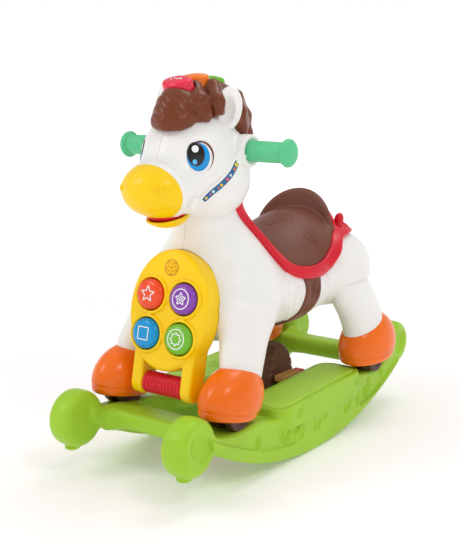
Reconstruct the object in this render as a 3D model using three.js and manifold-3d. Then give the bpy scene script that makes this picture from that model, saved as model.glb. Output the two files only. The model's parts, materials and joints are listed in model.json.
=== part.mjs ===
// A toddler's rocking horse: a hollow plastic pony on four small wheels, parked on a green rocker base.
// Millimetres. +X is the pony's left, it faces -Y, +Z is up, and the rockers stand on Z = 0.
import * as THREE from "three";
import { mergeVertices } from "three/addons/utils/BufferGeometryUtils.js";
import Module from "manifold-3d";

const wasm = await Module();
wasm.setup();

// ---------------------------------------------------------------- driving dimensions
const GAP = 0.35; // clearance between touching pieces
const WALL = 3; // wall of the blow-moulded shells
const TOY_SHIFT_Y = 19.25; // puts the middle of the whole toy over the origin

const ROCK = { radius: 497, y: -14, restHalf: 28 }; // running edge, and the flat facet it rests on
const RAIL = { inner: 74, outer: 122, front: -272, rear: 238, corner: 7 };
const WHEEL_FLOOR = 77; // height at which the pony's wheels stand
const DECK = { x: [48, 125], y: [-112, 120], z: 87, thick: 24, rise: 0.035, corner: 26, bevel: 4 };
const BUMPER_FRONT = { x: 77, y: -290, z: 80, radius: 40.5, depth: 42 };
const BUMPER_REAR = { x: 76, y: 256, z: 100, radius: 36, depth: 41 };
const CROSSBAR_FRONT = { y: [-248, -200], z: [60, 84], flare: 5 };
const CROSSBAR_REAR = { y: [194, 230], z: [70, 98], flare: 6 };
const BRIDGE = { y: [-16, 88], z: [44, 60] };
const POST_HALF = 20;
const LEVER = { x: [25, 45], y: [16, 62], z: [76, 88], button: 13, pinY: 29, pinZ: 81, pin: 2.5 };

const FRONT_FOOT = { x: 95, y: -197 };
const REAR_FOOT = { x: 107, y: 158 };
const WHEEL = { radius: 23, face: 19, inner: 7, hub: 8, bore: 3.4, clear: 3 };
const PIN = { radius: 3, half: 27 };
// Stages of a limb: [x, y, z, half width, half length, slope], from the bottom up. The slope lifts
// the front of a stage and lowers its rear, so a hoof's sole rises towards its toe.
const FRONT_HOOF = [
  [0, 4, 92, 31, 46, 0.2],
  [0, 0, 101, 35.5, 53, 0.2],
  [0, 2, 116, 35.5, 53, 0.1],
  [0, 8, 137, 32, 47, 0],
  [0, 15, 153, 28, 41, 0],
  [0, 22, 165, 24, 35, 0],
];
const REAR_HOOF = [
  [0, -2, 97, 33, 50, -0.05],
  [0, 0, 106, 38, 57, -0.05],
  [0, 0, 121, 38, 57, -0.03],
  [0, -2, 139, 35, 51, 0],
  [0, -4, 152, 31, 45, 0],
  [0, -5, 163, 27.5, 40, 0],
];
const FRONT_LEG = [
  [93, -172, 148, 22, 32],
  [92, -169, 164, 24, 34],
  [82, -143, 190, 27, 45],
  [70, -122, 228, 33, 54],
];
const REAR_LEG = [
  [106, 153, 150, 25, 37],
  [105, 151, 164, 27, 40],
  [99, 141, 190, 27, 46],
  [88, 130, 222, 22, 44],
];
const NECK = [
  [0, -98, 280, 66, 74],
  [0, -116, 322, 53, 58],
  [0, -126, 360, 46, 49],
  [0, -130, 385, 44, 47],
];

const PANEL = { y: -211, z: 229.7, lean: 0.21, halfWidth: 67, halfHeight: 82.5, depth: 35, bevel: 7 };
const PANEL_BUTTON = { x: 28.5, rows: [18.5, -35.5], radius: 21, proud: 9, buried: 5, travel: 4 };
const ROLLER = { radius: 15.5, half: 32.6, ribs: 11, y: 20, z: -103, bore: 3.7 };
const ARM = { inner: 33.4, outer: 52, y: [6, 34.5], top: -20, blind: 45 };

const HEAD = { centre: [0, -155, 425], radii: [73, 80, 76] };
const HANDLE = { y: -124, z: 442, boss: 24, bossX: 77, radius: 14, ball: 18.5, ballX: 128 };
const BAR = { radius: 8, half: 112 };
const MANE_BUTTON = { proud: 13, buried: 7, travel: 3 };
const MANE_ROWS = [
  { name: "front", y: -181, z: 526, half: [24, 17], tilt: 0.42, colour: 0xd81f3c },
  { name: "middle", y: -143, z: 531, half: [21, 16], tilt: 0.12, colour: 0xee7a1c },
  { name: "rear", y: -104, z: 527, half: [17, 14.5], tilt: -0.25, colour: 0x6cb544 },
];

const COLOUR = {
  white: 0xf2f0ec,
  yellow: 0xffcf00,
  orange: 0xee6a1e,
  lime: 0x8fc93a,
  spring: 0x5fc58a,
  hair: 0x6b3a22,
  leather: 0x6f4a3c,
  crimson: 0xd41f3a,
  wheel: 0x4e3228,
  tan: 0xb98752,
  steel: 0xb8bcc0,
  board: 0x2f6b4a,
  charcoal: 0x2c2c2e,
};
const BUTTON_COLOURS = [0xe8452a, 0x7a4bb0, 0x1f9ad6, 0x67b346];

// ---------------------------------------------------------------- solids
// A closed three.js geometry as a manifold solid, turned right side out where a shape was mirrored.
function solid(geometry) {
  const bare = geometry.clone();
  bare.deleteAttribute("normal");
  bare.deleteAttribute("uv");
  const merged = mergeVertices(bare, 1e-3);
  const vertProperties = merged.attributes.position.array;
  const faces = new Uint32Array(merged.index.array);
  const made = new wasm.Manifold(new wasm.Mesh({ numProp: 3, vertProperties, triVerts: faces }));
  if (made.volume() >= 0) return made;
  const turned = faces.reverse();
  return new wasm.Manifold(new wasm.Mesh({ numProp: 3, vertProperties, triVerts: turned }));
}

function geometryOf(manifold) {
  const mesh = manifold.getMesh();
  const positions = new Float32Array(mesh.numVert * 3);
  for (let i = 0; i < mesh.numVert; i++) {
    for (let k = 0; k < 3; k++) positions[3 * i + k] = mesh.vertProperties[mesh.numProp * i + k];
  }
  const geometry = new THREE.BufferGeometry();
  geometry.setAttribute("position", new THREE.BufferAttribute(positions, 3));
  geometry.setIndex(Array.from(mesh.triVerts));
  geometry.computeVertexNormals();
  return geometry;
}

const unite = (...solids) => solids.reduce((all, one) => all.add(one));

// The biggest of the bodies that a cut leaves, without the slivers beside it.
const mainBody = (manifold) => manifold.decompose().sort((a, b) => b.volume() - a.volume())[0];

function ellipsoid(centre, radii, grow = 0, sides = 14) {
  const sphere = new THREE.SphereGeometry(1, sides, Math.round(sides * 0.6));
  const size = radii.map((r) => r + grow);
  return solid(sphere.rotateX(Math.PI / 2).scale(...size).translate(...centre));
}

function block(low, high) {
  const size = high.map((value, k) => value - low[k]);
  const middle = high.map((value, k) => (value + low[k]) / 2);
  return solid(new THREE.BoxGeometry(...size).translate(...middle));
}

// A round bar along X from x0 to x1 around (y, z).
function rod(x0, x1, y, z, radius, sides = 14) {
  const bar = new THREE.CylinderGeometry(radius, radius, x1 - x0, sides).rotateZ(-Math.PI / 2);
  return solid(bar.translate((x0 + x1) / 2, y, z));
}

// A closed skin through a row of sections, each a ring with the same number of points.
function loft(sections) {
  const rows = sections.length - 1;
  const sides = sections[0].length;
  const tube = new THREE.CylinderGeometry(1, 1, rows, sides, rows);
  const spot = tube.attributes.position;
  for (let i = 0; i < spot.count; i++) {
    const ring = sections[Math.round(rows / 2 - spot.getY(i))];
    const onRim = Math.hypot(spot.getX(i), spot.getZ(i)) > 0.5;
    const turn = Math.atan2(spot.getX(i), spot.getZ(i)) / (2 * Math.PI);
    const middle = new THREE.Vector3();
    for (const point of ring) middle.addScaledVector(point, 1 / sides);
    const point = onRim ? ring[(Math.round(turn * sides) + sides) % sides] : middle;
    spot.setXYZ(i, point.x, point.y, point.z);
  }
  return solid(tube);
}

// An upright limb through its stages, grown all round by grow.
function limb(stages, grow = 0, sides = 12) {
  const last = stages.length - 1;
  const rings = stages.map(([x, y, z, a, b, slope = 0], row) => {
    const lift = row === 0 ? -grow : row === last ? grow : 0;
    return Array.from({ length: sides }, (_, i) => {
      const turn = (2 * Math.PI * i) / sides;
      const across = (a + grow) * Math.cos(turn);
      const along = (b + grow) * Math.sin(turn);
      return new THREE.Vector3(x + across, y + along, z + lift - slope * along);
    });
  });
  return loft(rings);
}

// A box section with rounded corners, as [u, v] pairs: three points to a corner.
function roundedBox(u0, u1, v0, v1, corner) {
  const corners = [
    [u1 - corner, v0 + corner, -90],
    [u1 - corner, v1 - corner, 0],
    [u0 + corner, v1 - corner, 90],
    [u0 + corner, v0 + corner, 180],
  ];
  return corners.flatMap(([u, v, start]) =>
    [0, 45, 90].map((step) => {
      const turn = THREE.MathUtils.degToRad(start + step);
      return [u + corner * Math.cos(turn), v + corner * Math.sin(turn)];
    }),
  );
}

// A profile of [distance along X, radius] pairs spun round the X axis.
function spun(profile, sides = 14) {
  const points = profile.map(([along, radius]) => new THREE.Vector2(radius, along));
  return solid(new THREE.LatheGeometry(points, sides).rotateZ(-Math.PI / 2));
}

// A side-view outline of [y, z] points, extruded across X from x0 to x1.
function sideOutline(points, x0, x1) {
  const shape = new THREE.Shape(points.map(([y, z]) => new THREE.Vector2(y, z)));
  const slab = new THREE.ExtrudeGeometry(shape, { depth: x1 - x0, bevelEnabled: false });
  // The outline's own x and y become Y and Z, and its depth becomes X.
  const axes = [new THREE.Vector3(0, 1, 0), new THREE.Vector3(0, 0, 1), new THREE.Vector3(1, 0, 0)];
  slab.applyMatrix4(new THREE.Matrix4().makeBasis(...axes));
  return solid(slab.translate(x0, 0, 0));
}

// A flat oval lying across X and Y, from z0 up to z1, with a small bevel on its upper edge.
function ovalPad(halfX, halfY, z0, z1, steps = 16) {
  const bevel = 1.5;
  const rings = [
    [z0, 0],
    [z1 - bevel, 0],
    [z1, bevel],
  ].map(([z, inset]) =>
    Array.from({ length: steps }, (_, i) => {
      const turn = (2 * Math.PI * i) / steps;
      const x = (halfX - inset) * Math.cos(turn);
      return new THREE.Vector3(x, (halfY - inset) * Math.sin(turn), z);
    }),
  );
  return loft(rings);
}

// ---------------------------------------------------------------- scene graph helpers
const toy = new THREE.Group();
toy.position.y = TOY_SHIFT_Y;
const base = new THREE.Group();
const horse = new THREE.Group();
toy.add(base, horse);

function place(parent, name, manifold, colour, look = {}) {
  const material = new THREE.MeshStandardMaterial({ color: colour, roughness: 0.4, ...look });
  const mesh = new THREE.Mesh(geometryOf(manifold), material);
  mesh.name = name;
  parent.add(mesh);
  return mesh;
}

// The same solid on both sides: the left one as made, the right one mirrored across X = 0.
function placePair(parent, name, manifold, colour, look = {}) {
  place(parent, name + "_left", manifold, colour, look);
  place(parent, name + "_right", manifold, colour, look).scale.x = -1;
}

// ---------------------------------------------------------------- rocker base
// Height of the running edge at y: a round arc whose lowest stretch is cut flat.
function runningEdge(y) {
  const from = Math.max(Math.abs(y - ROCK.y), ROCK.restHalf);
  return Math.sqrt(ROCK.radius ** 2 - ROCK.restHalf ** 2) - Math.sqrt(ROCK.radius ** 2 - from ** 2);
}

const underDeck = (y) => DECK.z - DECK.thick + DECK.rise * y - GAP;

function bumper(size, grow = 0) {
  const r = size.radius + grow;
  const d = size.depth + grow;
  const profile = [
    [-grow, 0],
    [-grow, r - 4],
    [3, r],
    [d * 0.5, r * 0.97],
    [d * 0.85, r * 0.8],
    [d, r * 0.5],
    [d, 0],
  ];
  return spun(profile, 16).translate([size.x, size.y, size.z]);
}

// The bumper with a thumb-sized dish in its outer face.
function dishedBumper(size) {
  const outside = size.x + size.depth + 5;
  const dish = ellipsoid([outside, size.y, size.z], [9, size.radius * 0.4, size.radius * 0.55], 0, 12);
  return bumper(size).subtract(dish);
}

// A banana-shaped rail: its underside is the running edge, its top carries the wheels and the deck.
function rail() {
  const wheelTop = WHEEL_FLOOR - GAP;
  const stages = [
    [RAIL.front, 94],
    [-234, wheelTop],
    [-176, wheelTop],
    [-124, underDeck(-124)],
    [-82, underDeck(-82)],
    [ROCK.y - ROCK.restHalf, underDeck(-42)],
    [ROCK.y + ROCK.restHalf, underDeck(14)],
    [64, underDeck(64)],
    [118, underDeck(118)],
    [142, wheelTop],
    [180, wheelTop],
    [214, 96],
    [RAIL.rear, 108],
  ];
  const sections = stages.map(([y, top]) => {
    const ring = roundedBox(RAIL.inner, RAIL.outer, runningEdge(y), top, RAIL.corner);
    return ring.map(([x, z]) => new THREE.Vector3(x, y, z));
  });
  return loft(sections).subtract(bumper(BUMPER_FRONT, GAP)).subtract(bumper(BUMPER_REAR, GAP));
}

// The raised footrest: a rounded deck that stands on the middle of a rail.
function footrest() {
  const corner = DECK.corner;
  const [x0, x1] = [DECK.x[0] + corner, DECK.x[1] - corner];
  const [y0, y1] = [DECK.y[0] + corner, DECK.y[1] - corner];
  const shape = new THREE.Shape();
  shape.absarc(x1, y0, corner, -Math.PI / 2, 0, false);
  shape.absarc(x1, y1, corner, 0, Math.PI / 2, false);
  shape.absarc(x0, y1, corner, Math.PI / 2, Math.PI, false);
  shape.absarc(x0, y0, corner, Math.PI, 1.5 * Math.PI, false);
  const slab = new THREE.ExtrudeGeometry(shape, {
    depth: DECK.thick - 2 * DECK.bevel,
    bevelThickness: DECK.bevel,
    bevelSize: DECK.bevel,
    bevelOffset: -DECK.bevel,
    bevelSegments: 1,
    curveSegments: 5,
  });
  slab.translate(0, 0, DECK.bevel - DECK.thick);
  slab.rotateX(Math.atan(DECK.rise));
  return solid(slab.translate(0, 0, DECK.z));
}

// A beam between the rails: a rounded box section that flares towards both ends.
function crossbar({ y, z, flare }) {
  const reach = RAIL.inner - GAP;
  const sections = [-1, -0.65, 0.65, 1].map((side) => {
    const extra = Math.abs(side) === 1 ? flare : 0;
    const ring = roundedBox(y[0] - extra, y[1] + extra, z[0] - extra / 2, z[1] + extra / 2, 10);
    return ring.map(([along, up]) => new THREE.Vector3(side * reach, along, up));
  });
  return loft(sections);
}

// The brown bridge under the belly with its upright post and the block that carries the latch.
function dockBridge() {
  const reach = RAIL.inner - GAP;
  const beam = block([-reach, BRIDGE.y[0], BRIDGE.z[0]], [reach, BRIDGE.y[1], BRIDGE.z[1]]);
  const outline = [
    [10, 50],
    [86, 50],
    [74, 104],
    [62, 122],
    [48, 130],
    [32, 127],
    [20, 112],
  ];
  const post = sideOutline(outline, -POST_HALF, POST_HALF);
  const rest = block(
    [LEVER.x[0], LEVER.pinY - 6, BRIDGE.z[0]],
    [LEVER.x[1] - 5, LEVER.pinY + 2, LEVER.z[0] - 4 * GAP],
  );
  return unite(beam, post, rest);
}

placePair(base, "rocker_rail", rail(), COLOUR.lime);
placePair(base, "footrest", footrest(), COLOUR.lime);
placePair(base, "bumper_front", dishedBumper(BUMPER_FRONT), COLOUR.lime);
placePair(base, "bumper_rear", dishedBumper(BUMPER_REAR), COLOUR.lime);
place(base, "front_crossbar", crossbar(CROSSBAR_FRONT), COLOUR.lime);
place(base, "rear_crossbar", crossbar(CROSSBAR_REAR), COLOUR.lime);
place(base, "dock_bridge", dockBridge(), COLOUR.hair);

// The tan lever tips on a pin beside the post, and a crimson push button slides in its rear end.
const lever = block([LEVER.x[0], LEVER.y[0], LEVER.z[0]], [LEVER.x[1], LEVER.y[1], LEVER.z[1]]);
const leverBore = rod(0, 60, LEVER.pinY, LEVER.pinZ, LEVER.pin + GAP);
place(base, "latch_lever", lever.subtract(leverBore), COLOUR.tan);
const leverPin = rod(POST_HALF + GAP, LEVER.x[1] + 1, LEVER.pinY, LEVER.pinZ, LEVER.pin);
place(base, "latch_pin", leverPin, COLOUR.steel, { metalness: 0.9 });
const buttonFront = LEVER.y[1] + GAP;
const latchButton = block(
  [LEVER.x[0] + 1, buttonFront, LEVER.z[0]],
  [LEVER.x[1] - 1, buttonFront + LEVER.button, LEVER.z[1] - 1],
);
place(base, "latch_button", latchButton, COLOUR.crimson);

// ---------------------------------------------------------------- feet
// A hoof is hollow underneath: a pair of discs turns in it on a steel pin.
const hoofAt = (stages, foot, grow = 0) => limb(stages, grow, 14).translate([foot.x, foot.y, 0]);
const axleHeight = WHEEL_FLOOR + WHEEL.radius;

function hoof(stages) {
  const room = WHEEL.radius + WHEEL.clear;
  const wide = WHEEL.face + 2;
  const well = block([-wide, -room, 0], [wide, room, axleHeight + room]);
  const bore = rod(-PIN.half - GAP, PIN.half + GAP, 0, axleHeight, PIN.radius + GAP);
  return limb(stages, 0, 14).subtract(well).subtract(bore);
}

function wheel() {
  const { radius, face, inner, hub, bore } = WHEEL;
  const half = [
    [inner, hub],
    [inner, radius - 2],
    [inner + 2, radius],
    [face - 2, radius],
    [face, radius - 2],
    [face, bore],
  ];
  const mirrored = half.map(([along, r]) => [-along, r]).reverse();
  return spun([...mirrored, ...half, [-face, bore]], 12);
}

function addFoot(name, stages, foot, side) {
  const group = new THREE.Group();
  group.position.set(side * foot.x, foot.y, 0);
  horse.add(group);
  place(group, "hoof_" + name, hoof(stages), COLOUR.orange);
  place(group, "wheel_" + name, wheel(), COLOUR.wheel).position.z = axleHeight;
  const pin = rod(-PIN.half, PIN.half, 0, 0, PIN.radius);
  place(group, "axle_" + name, pin, COLOUR.steel, { metalness: 0.9 }).position.z = axleHeight;
}

addFoot("front_left", FRONT_HOOF, FRONT_FOOT, 1);
addFoot("front_right", FRONT_HOOF, FRONT_FOOT, -1);
addFoot("rear_left", REAR_HOOF, REAR_FOOT, 1);
addFoot("rear_right", REAR_HOOF, REAR_FOOT, -1);

// ---------------------------------------------------------------- activity panel
// The panel stands in its own leaning frame: x across, y into the chest, z up its face.
const panel = new THREE.Group();
panel.position.set(0, PANEL.y, PANEL.z);
panel.rotation.x = -PANEL.lean;
horse.add(panel);
panel.updateMatrix();

// The oval face of the panel, from y = front to y = back.
function panelOval(front, back, grow = 0) {
  const { halfWidth, halfHeight, bevel } = PANEL;
  const rings = [
    [front, bevel],
    [front + bevel / 3, bevel / 3],
    [front + bevel, 0],
    [back, 0],
  ].map(([y, inset]) =>
    Array.from({ length: 24 }, (_, i) => {
      const turn = (2 * Math.PI * i) / 24;
      const x = (halfWidth + grow - inset) * Math.cos(turn);
      return new THREE.Vector3(x, y, (halfHeight + grow - inset) * Math.sin(turn));
    }),
  );
  return loft(rings);
}

// One of the two arms that reach down from the oval and hold the roller's axle.
function rollerArm(grow = 0) {
  const [y0, y1] = ARM.y;
  const middle = (y0 + y1) / 2;
  const r = (y1 - y0) / 2 + grow;
  const low = ROLLER.z;
  const end = rod(ARM.inner - grow, ARM.outer + grow, middle, low, r, 14);
  const shank = block(
    [ARM.inner - grow, y0 - grow, low],
    [ARM.outer + grow, y1 + grow, ARM.top + grow],
  );
  return end.add(shank);
}

const mirrorX = (manifold) => manifold.scale([-1, 1, 1]);

function buttonPlaces() {
  return PANEL_BUTTON.rows.flatMap((z) => [-1, 1].map((side) => [side * PANEL_BUTTON.x, z]));
}

// A round plug along Y at (x, z), from y0 to y1.
function plug(x, z, y0, y1, radius, sides = 16) {
  const disc = new THREE.CylinderGeometry(radius, radius, y1 - y0, sides);
  return solid(disc.translate(x, (y0 + y1) / 2, z));
}

function panelHousing() {
  const arm = rollerArm();
  let body = unite(panelOval(0, PANEL.depth), arm, mirrorX(arm));
  const floor = PANEL_BUTTON.buried + PANEL_BUTTON.travel + 1;
  for (const [x, z] of buttonPlaces()) {
    body = body.subtract(plug(x, z, -20, floor, PANEL_BUTTON.radius + 2 * GAP));
  }
  return body.subtract(rod(-ARM.blind - GAP, ARM.blind + GAP, ROLLER.y, ROLLER.z, PIN.radius + GAP));
}

function roller() {
  const pitch = (2 * ROLLER.half) / ROLLER.ribs;
  const profile = [[-ROLLER.half, ROLLER.bore]];
  for (let i = 0; i < ROLLER.ribs; i++) {
    const start = -ROLLER.half + i * pitch;
    profile.push([start, ROLLER.radius - 2.2], [start + pitch / 2, ROLLER.radius]);
  }
  profile.push([ROLLER.half, ROLLER.radius - 2.2], [ROLLER.half, ROLLER.bore]);
  profile.push([-ROLLER.half, ROLLER.bore]);
  return spun(profile, 10);
}

place(panel, "panel_housing", panelHousing(), COLOUR.yellow);
const CAP_NAMES = ["upper_right", "upper_left", "lower_right", "lower_left"];
buttonPlaces().forEach(([x, z], i) => {
  const cap = plug(0, 0, -PANEL_BUTTON.proud, PANEL_BUTTON.buried, PANEL_BUTTON.radius);
  place(panel, "panel_button_" + CAP_NAMES[i], cap, BUTTON_COLOURS[i]).position.set(x, 0, z);
});
const rollerMesh = place(panel, "spin_roller", roller(), COLOUR.crimson);
rollerMesh.position.set(0, ROLLER.y, ROLLER.z);
const rollerPin = place(panel, "roller_axle", rod(-ARM.blind, ARM.blind, 0, 0, PIN.radius), COLOUR.steel);
rollerPin.position.set(0, ROLLER.y, ROLLER.z);

const boardFront = PANEL.depth + GAP;
const board = block([-32, boardFront, -40], [32, boardFront + 1.6, 40]);
place(panel, "circuit_board", board, COLOUR.board);
const speaker = plug(0, 8, boardFront + 1.6 + GAP, boardFront + 16, 24, 14);
place(panel, "speaker", speaker, COLOUR.charcoal);

// What the chest has to leave free for the panel, in the pony's frame.
const boardRoom = block([-33, PANEL.depth - 1, -41], [33, boardFront + 3, 41]);
const speakerRoom = plug(0, 8, PANEL.depth, boardFront + 17, 25, 14);
const armRoom = rollerArm(GAP);
const ovalRoom = panelOval(-40, PANEL.depth + GAP, GAP);
const panelRoom = unite(ovalRoom, boardRoom, speakerRoom, armRoom, mirrorX(armRoom));
const panelRoomPlaced = panelRoom.transform(panel.matrix.elements);

// ---------------------------------------------------------------- body
// The outside of trunk, neck and front legs, grown all round by grow.
function bodyForm(grow = 0) {
  const leg = limb(FRONT_LEG, grow);
  const haunch = ellipsoid([56, 128, 243], [55, 80, 58], grow);
  const shoulder = ellipsoid([60, -118, 232], [42, 58, 56], grow);
  return unite(
    ellipsoid([0, 15, 240], [98, 176, 62], grow, 18),
    ellipsoid([0, -100, 250], [85, 85, 84], grow),
    ellipsoid([0, 140, 247], [72, 70, 54], grow, 12),
    limb(NECK, grow, 12),
    leg,
    mirrorX(leg),
    haunch,
    mirrorX(haunch),
    shoulder,
    mirrorX(shoulder),
  );
}

// The hollow inside trunk, chest, haunch and neck. It is coarser, so it lies a little deeper.
function bodyHollow() {
  const deep = -WALL - 1;
  return unite(
    ellipsoid([0, 15, 240], [98, 176, 62], deep, 12),
    ellipsoid([0, -100, 250], [85, 85, 84], deep, 10),
    ellipsoid([0, 140, 247], [72, 70, 54], deep, 10),
    ellipsoid([56, 128, 243], [55, 80, 58], deep, 10),
    limb(NECK, -WALL, 10),
  );
}

const leftHalf = block([GAP / 2, -400, -10], [300, 400, 700]);
const headForm = (grow = 0) => {
  const snout = ellipsoid([0, -200, 398], [46, 46, 42], grow, 12);
  const boss = rod(0, HANDLE.bossX + grow, HANDLE.y, HANDLE.z, HANDLE.boss + grow, 14);
  const cheek = ellipsoid([30, -142, 405], [44, 58, 54], grow, 12);
  const skull = ellipsoid(HEAD.centre, HEAD.radii, grow, 18);
  return unite(skull, snout, cheek, mirrorX(cheek), boss, mirrorX(boss));
};
const frontHoofRoom = hoofAt(FRONT_HOOF, FRONT_FOOT, GAP);
const rearHoofRoom = hoofAt(REAR_HOOF, REAR_FOOT, GAP);

const bodyShell = bodyForm()
  .subtract(bodyHollow())
  .subtract(headForm(GAP))
  .subtract(panelRoomPlaced)
  .subtract(frontHoofRoom)
  .intersect(leftHalf);
placePair(horse, "body_shell", mainBody(bodyShell), COLOUR.white);

const rearLeg = limb(REAR_LEG).subtract(bodyForm(GAP)).subtract(rearHoofRoom);
placePair(horse, "rear_leg", mainBody(rearLeg), COLOUR.white);

const batteryBox = block([-30, 28, 198], [30, 98, 236]);
place(horse, "battery_box", batteryBox, COLOUR.charcoal);

// ---------------------------------------------------------------- head
const maneForm = (grow = 0) =>
  unite(
    ellipsoid([0, -122, 468], [62, 70, 63], grow, 16),
    ellipsoid([5, -180, 487], [41, 42, 37], grow, 12),
  );
const muzzleForm = (grow = 0) => ellipsoid([0, -226, 396], [47, 46, 34], grow, 18);
const lipForm = (grow = 0) => ellipsoid([0, -206, 359], [37, 34, 15], grow, 12);

const headHollow = ellipsoid(HEAD.centre, HEAD.radii, -WALL - 1, 12);
const barHole = rod(-BAR.half, BAR.half, HANDLE.y, HANDLE.z, BAR.radius + GAP);
const headShell = headForm().subtract(headHollow).subtract(barHole).intersect(leftHalf);
placePair(horse, "head_shell", mainBody(headShell), COLOUR.white);

const muzzle = mainBody(muzzleForm().subtract(headForm(GAP)));
place(horse, "muzzle", muzzle, COLOUR.yellow);
const lip = mainBody(lipForm().subtract(headForm(GAP)).subtract(muzzleForm(GAP)));
place(horse, "lower_lip", lip, COLOUR.yellow);

const maneFloor = block([-100, -300, 300], [100, 0, 440]);
let mane = maneForm().subtract(headForm(GAP)).subtract(maneFloor);
for (const row of MANE_ROWS) {
  const [a, b] = row.half.map((half) => half + 2 * GAP);
  const well = ovalPad(a, b, -MANE_BUTTON.buried - MANE_BUTTON.travel - 1, 30);
  mane = mane.subtract(well.rotate([THREE.MathUtils.radToDeg(row.tilt), 0, 0]).translate([0, row.y, row.z]));
}
place(horse, "mane_cap", mainBody(mane), COLOUR.hair);

for (const row of MANE_ROWS) {
  const pad = ovalPad(...row.half, -MANE_BUTTON.buried, MANE_BUTTON.proud);
  const mesh = place(horse, "mane_button_" + row.name, pad, row.colour);
  mesh.position.set(0, row.y, row.z);
  mesh.rotation.x = row.tilt;
}

const earDish = ellipsoid([68, -162, 500], [9, 9, 19], 0, 10);
const ear = ellipsoid([64, -148, 500], [15, 13, 29], 0, 14)
  .subtract(earDish)
  .subtract(headForm(GAP))
  .subtract(maneForm(GAP));
placePair(horse, "ear", mainBody(ear), COLOUR.white);

// The raised cheek strap from the handle boss to the stud beside the mouth.
const strapOutline = [
  [-112, 420],
  [-148, 420],
  [-184, 396],
  [-206, 388],
  [-206, 366],
  [-186, 368],
  [-156, 390],
  [-122, 404],
];
const strapSlab = sideOutline(strapOutline, 15, 100);
const bridle = headForm(3)
  .intersect(strapSlab)
  .subtract(headForm(GAP))
  .subtract(muzzleForm(GAP))
  .subtract(lipForm(GAP));
placePair(horse, "bridle", mainBody(bridle), COLOUR.white);

// ---------------------------------------------------------------- handles
function handle() {
  const { radius, ball, ballX } = HANDLE;
  const root = HANDLE.bossX + GAP;
  const neck = Math.sqrt(ball ** 2 - radius ** 2);
  const profile = [
    [root, BAR.radius + GAP],
    [root, radius],
    [ballX - neck, radius],
  ];
  const turns = 7;
  const first = Math.acos(-neck / ball);
  for (let i = 1; i < turns; i++) {
    const turn = first * (1 - i / turns);
    profile.push([ballX + ball * Math.cos(turn), ball * Math.sin(turn)]);
  }
  profile.push([ballX + ball, 0], [BAR.half + 1, 0], [BAR.half + 1, BAR.radius + GAP]);
  profile.push([root, BAR.radius + GAP]);
  return spun(profile, 14).translate([0, HANDLE.y, HANDLE.z]);
}

placePair(horse, "handle", handle(), COLOUR.spring);
const bar = rod(-BAR.half, BAR.half, HANDLE.y, HANDLE.z, BAR.radius);
place(horse, "handle_bar", bar, COLOUR.steel, { metalness: 0.9 });

// ---------------------------------------------------------------- saddle
const BLANKET_THICK = 5;
const blanketOutline = [
  [-74, 380],
  [-74, 318],
  [-58, 284],
  [-34, 256],
  [-8, 253],
  [16, 264],
  [44, 286],
  [80, 296],
  [134, 300],
  [140, 380],
];
const blanketSlab = sideOutline(blanketOutline, -140, 140);
const blanket = bodyForm(BLANKET_THICK).intersect(blanketSlab).subtract(bodyForm(GAP));
place(horse, "saddle_blanket", mainBody(blanket.subtract(headForm(GAP))), COLOUR.crimson);

const seatOutline = [
  [-40, 300],
  [-40, 322],
  [-22, 328],
  [4, 324],
  [36, 315],
  [72, 318],
  [94, 336],
  [108, 368],
  [120, 370],
  [131, 348],
  [133, 300],
  [100, 262],
  [-10, 262],
];
const seatRound = ellipsoid([0, 50, 292], [98, 98, 84], 0, 18);
const seat = sideOutline(seatOutline, -100, 100)
  .intersect(seatRound)
  .subtract(bodyForm(BLANKET_THICK + GAP));
place(horse, "saddle_seat", mainBody(seat), COLOUR.leather);

const girthOutline = [
  [-22, 250],
  [4, 250],
  [28, 196],
  [38, 170],
  [8, 170],
  [0, 196],
];
const girthSlab = sideOutline(girthOutline, -140, 140);
const girth = mainBody(bodyForm(4).intersect(girthSlab).subtract(bodyForm(GAP)));
place(horse, "girth_strap", girth, COLOUR.leather);

export default toy;
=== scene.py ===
"""The looks of the rocking horse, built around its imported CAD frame.

Millimetres inside the shape functions, metres in Blender. +X is the pony's left, it faces -Y, +Z is up.
Organic pieces are distance fields turned into meshes; turned and moulded pieces are swept or spun.
"""
import json
import math

import bpy
import numpy as np
from mathutils import Matrix, Vector
from mathutils.bvhtree import BVHTree


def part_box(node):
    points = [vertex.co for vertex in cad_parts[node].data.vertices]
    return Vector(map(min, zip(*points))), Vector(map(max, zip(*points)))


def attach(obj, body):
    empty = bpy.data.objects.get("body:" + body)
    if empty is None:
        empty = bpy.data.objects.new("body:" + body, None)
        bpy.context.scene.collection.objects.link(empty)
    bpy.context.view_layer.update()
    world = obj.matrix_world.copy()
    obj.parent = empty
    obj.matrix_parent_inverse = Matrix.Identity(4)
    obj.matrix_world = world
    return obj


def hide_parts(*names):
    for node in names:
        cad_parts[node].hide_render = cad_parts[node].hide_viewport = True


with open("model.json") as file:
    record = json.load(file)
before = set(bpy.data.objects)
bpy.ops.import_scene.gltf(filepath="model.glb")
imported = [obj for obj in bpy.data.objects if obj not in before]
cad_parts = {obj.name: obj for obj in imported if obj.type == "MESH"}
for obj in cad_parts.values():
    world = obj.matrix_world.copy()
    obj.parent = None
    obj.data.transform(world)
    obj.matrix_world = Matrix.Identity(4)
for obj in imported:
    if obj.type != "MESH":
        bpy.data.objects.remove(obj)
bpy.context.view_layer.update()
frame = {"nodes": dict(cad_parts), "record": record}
MM = 0.001


def middle(node):
    """The middle of a CAD node's box, in millimetres."""
    low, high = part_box(node)
    return np.array((low + high) / 2) / MM


def pony_middle(node):
    """The same in the pony's own frame, whose Y is 0 near its middle."""
    return middle(node) - (0, SHIFT, 0)


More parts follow.
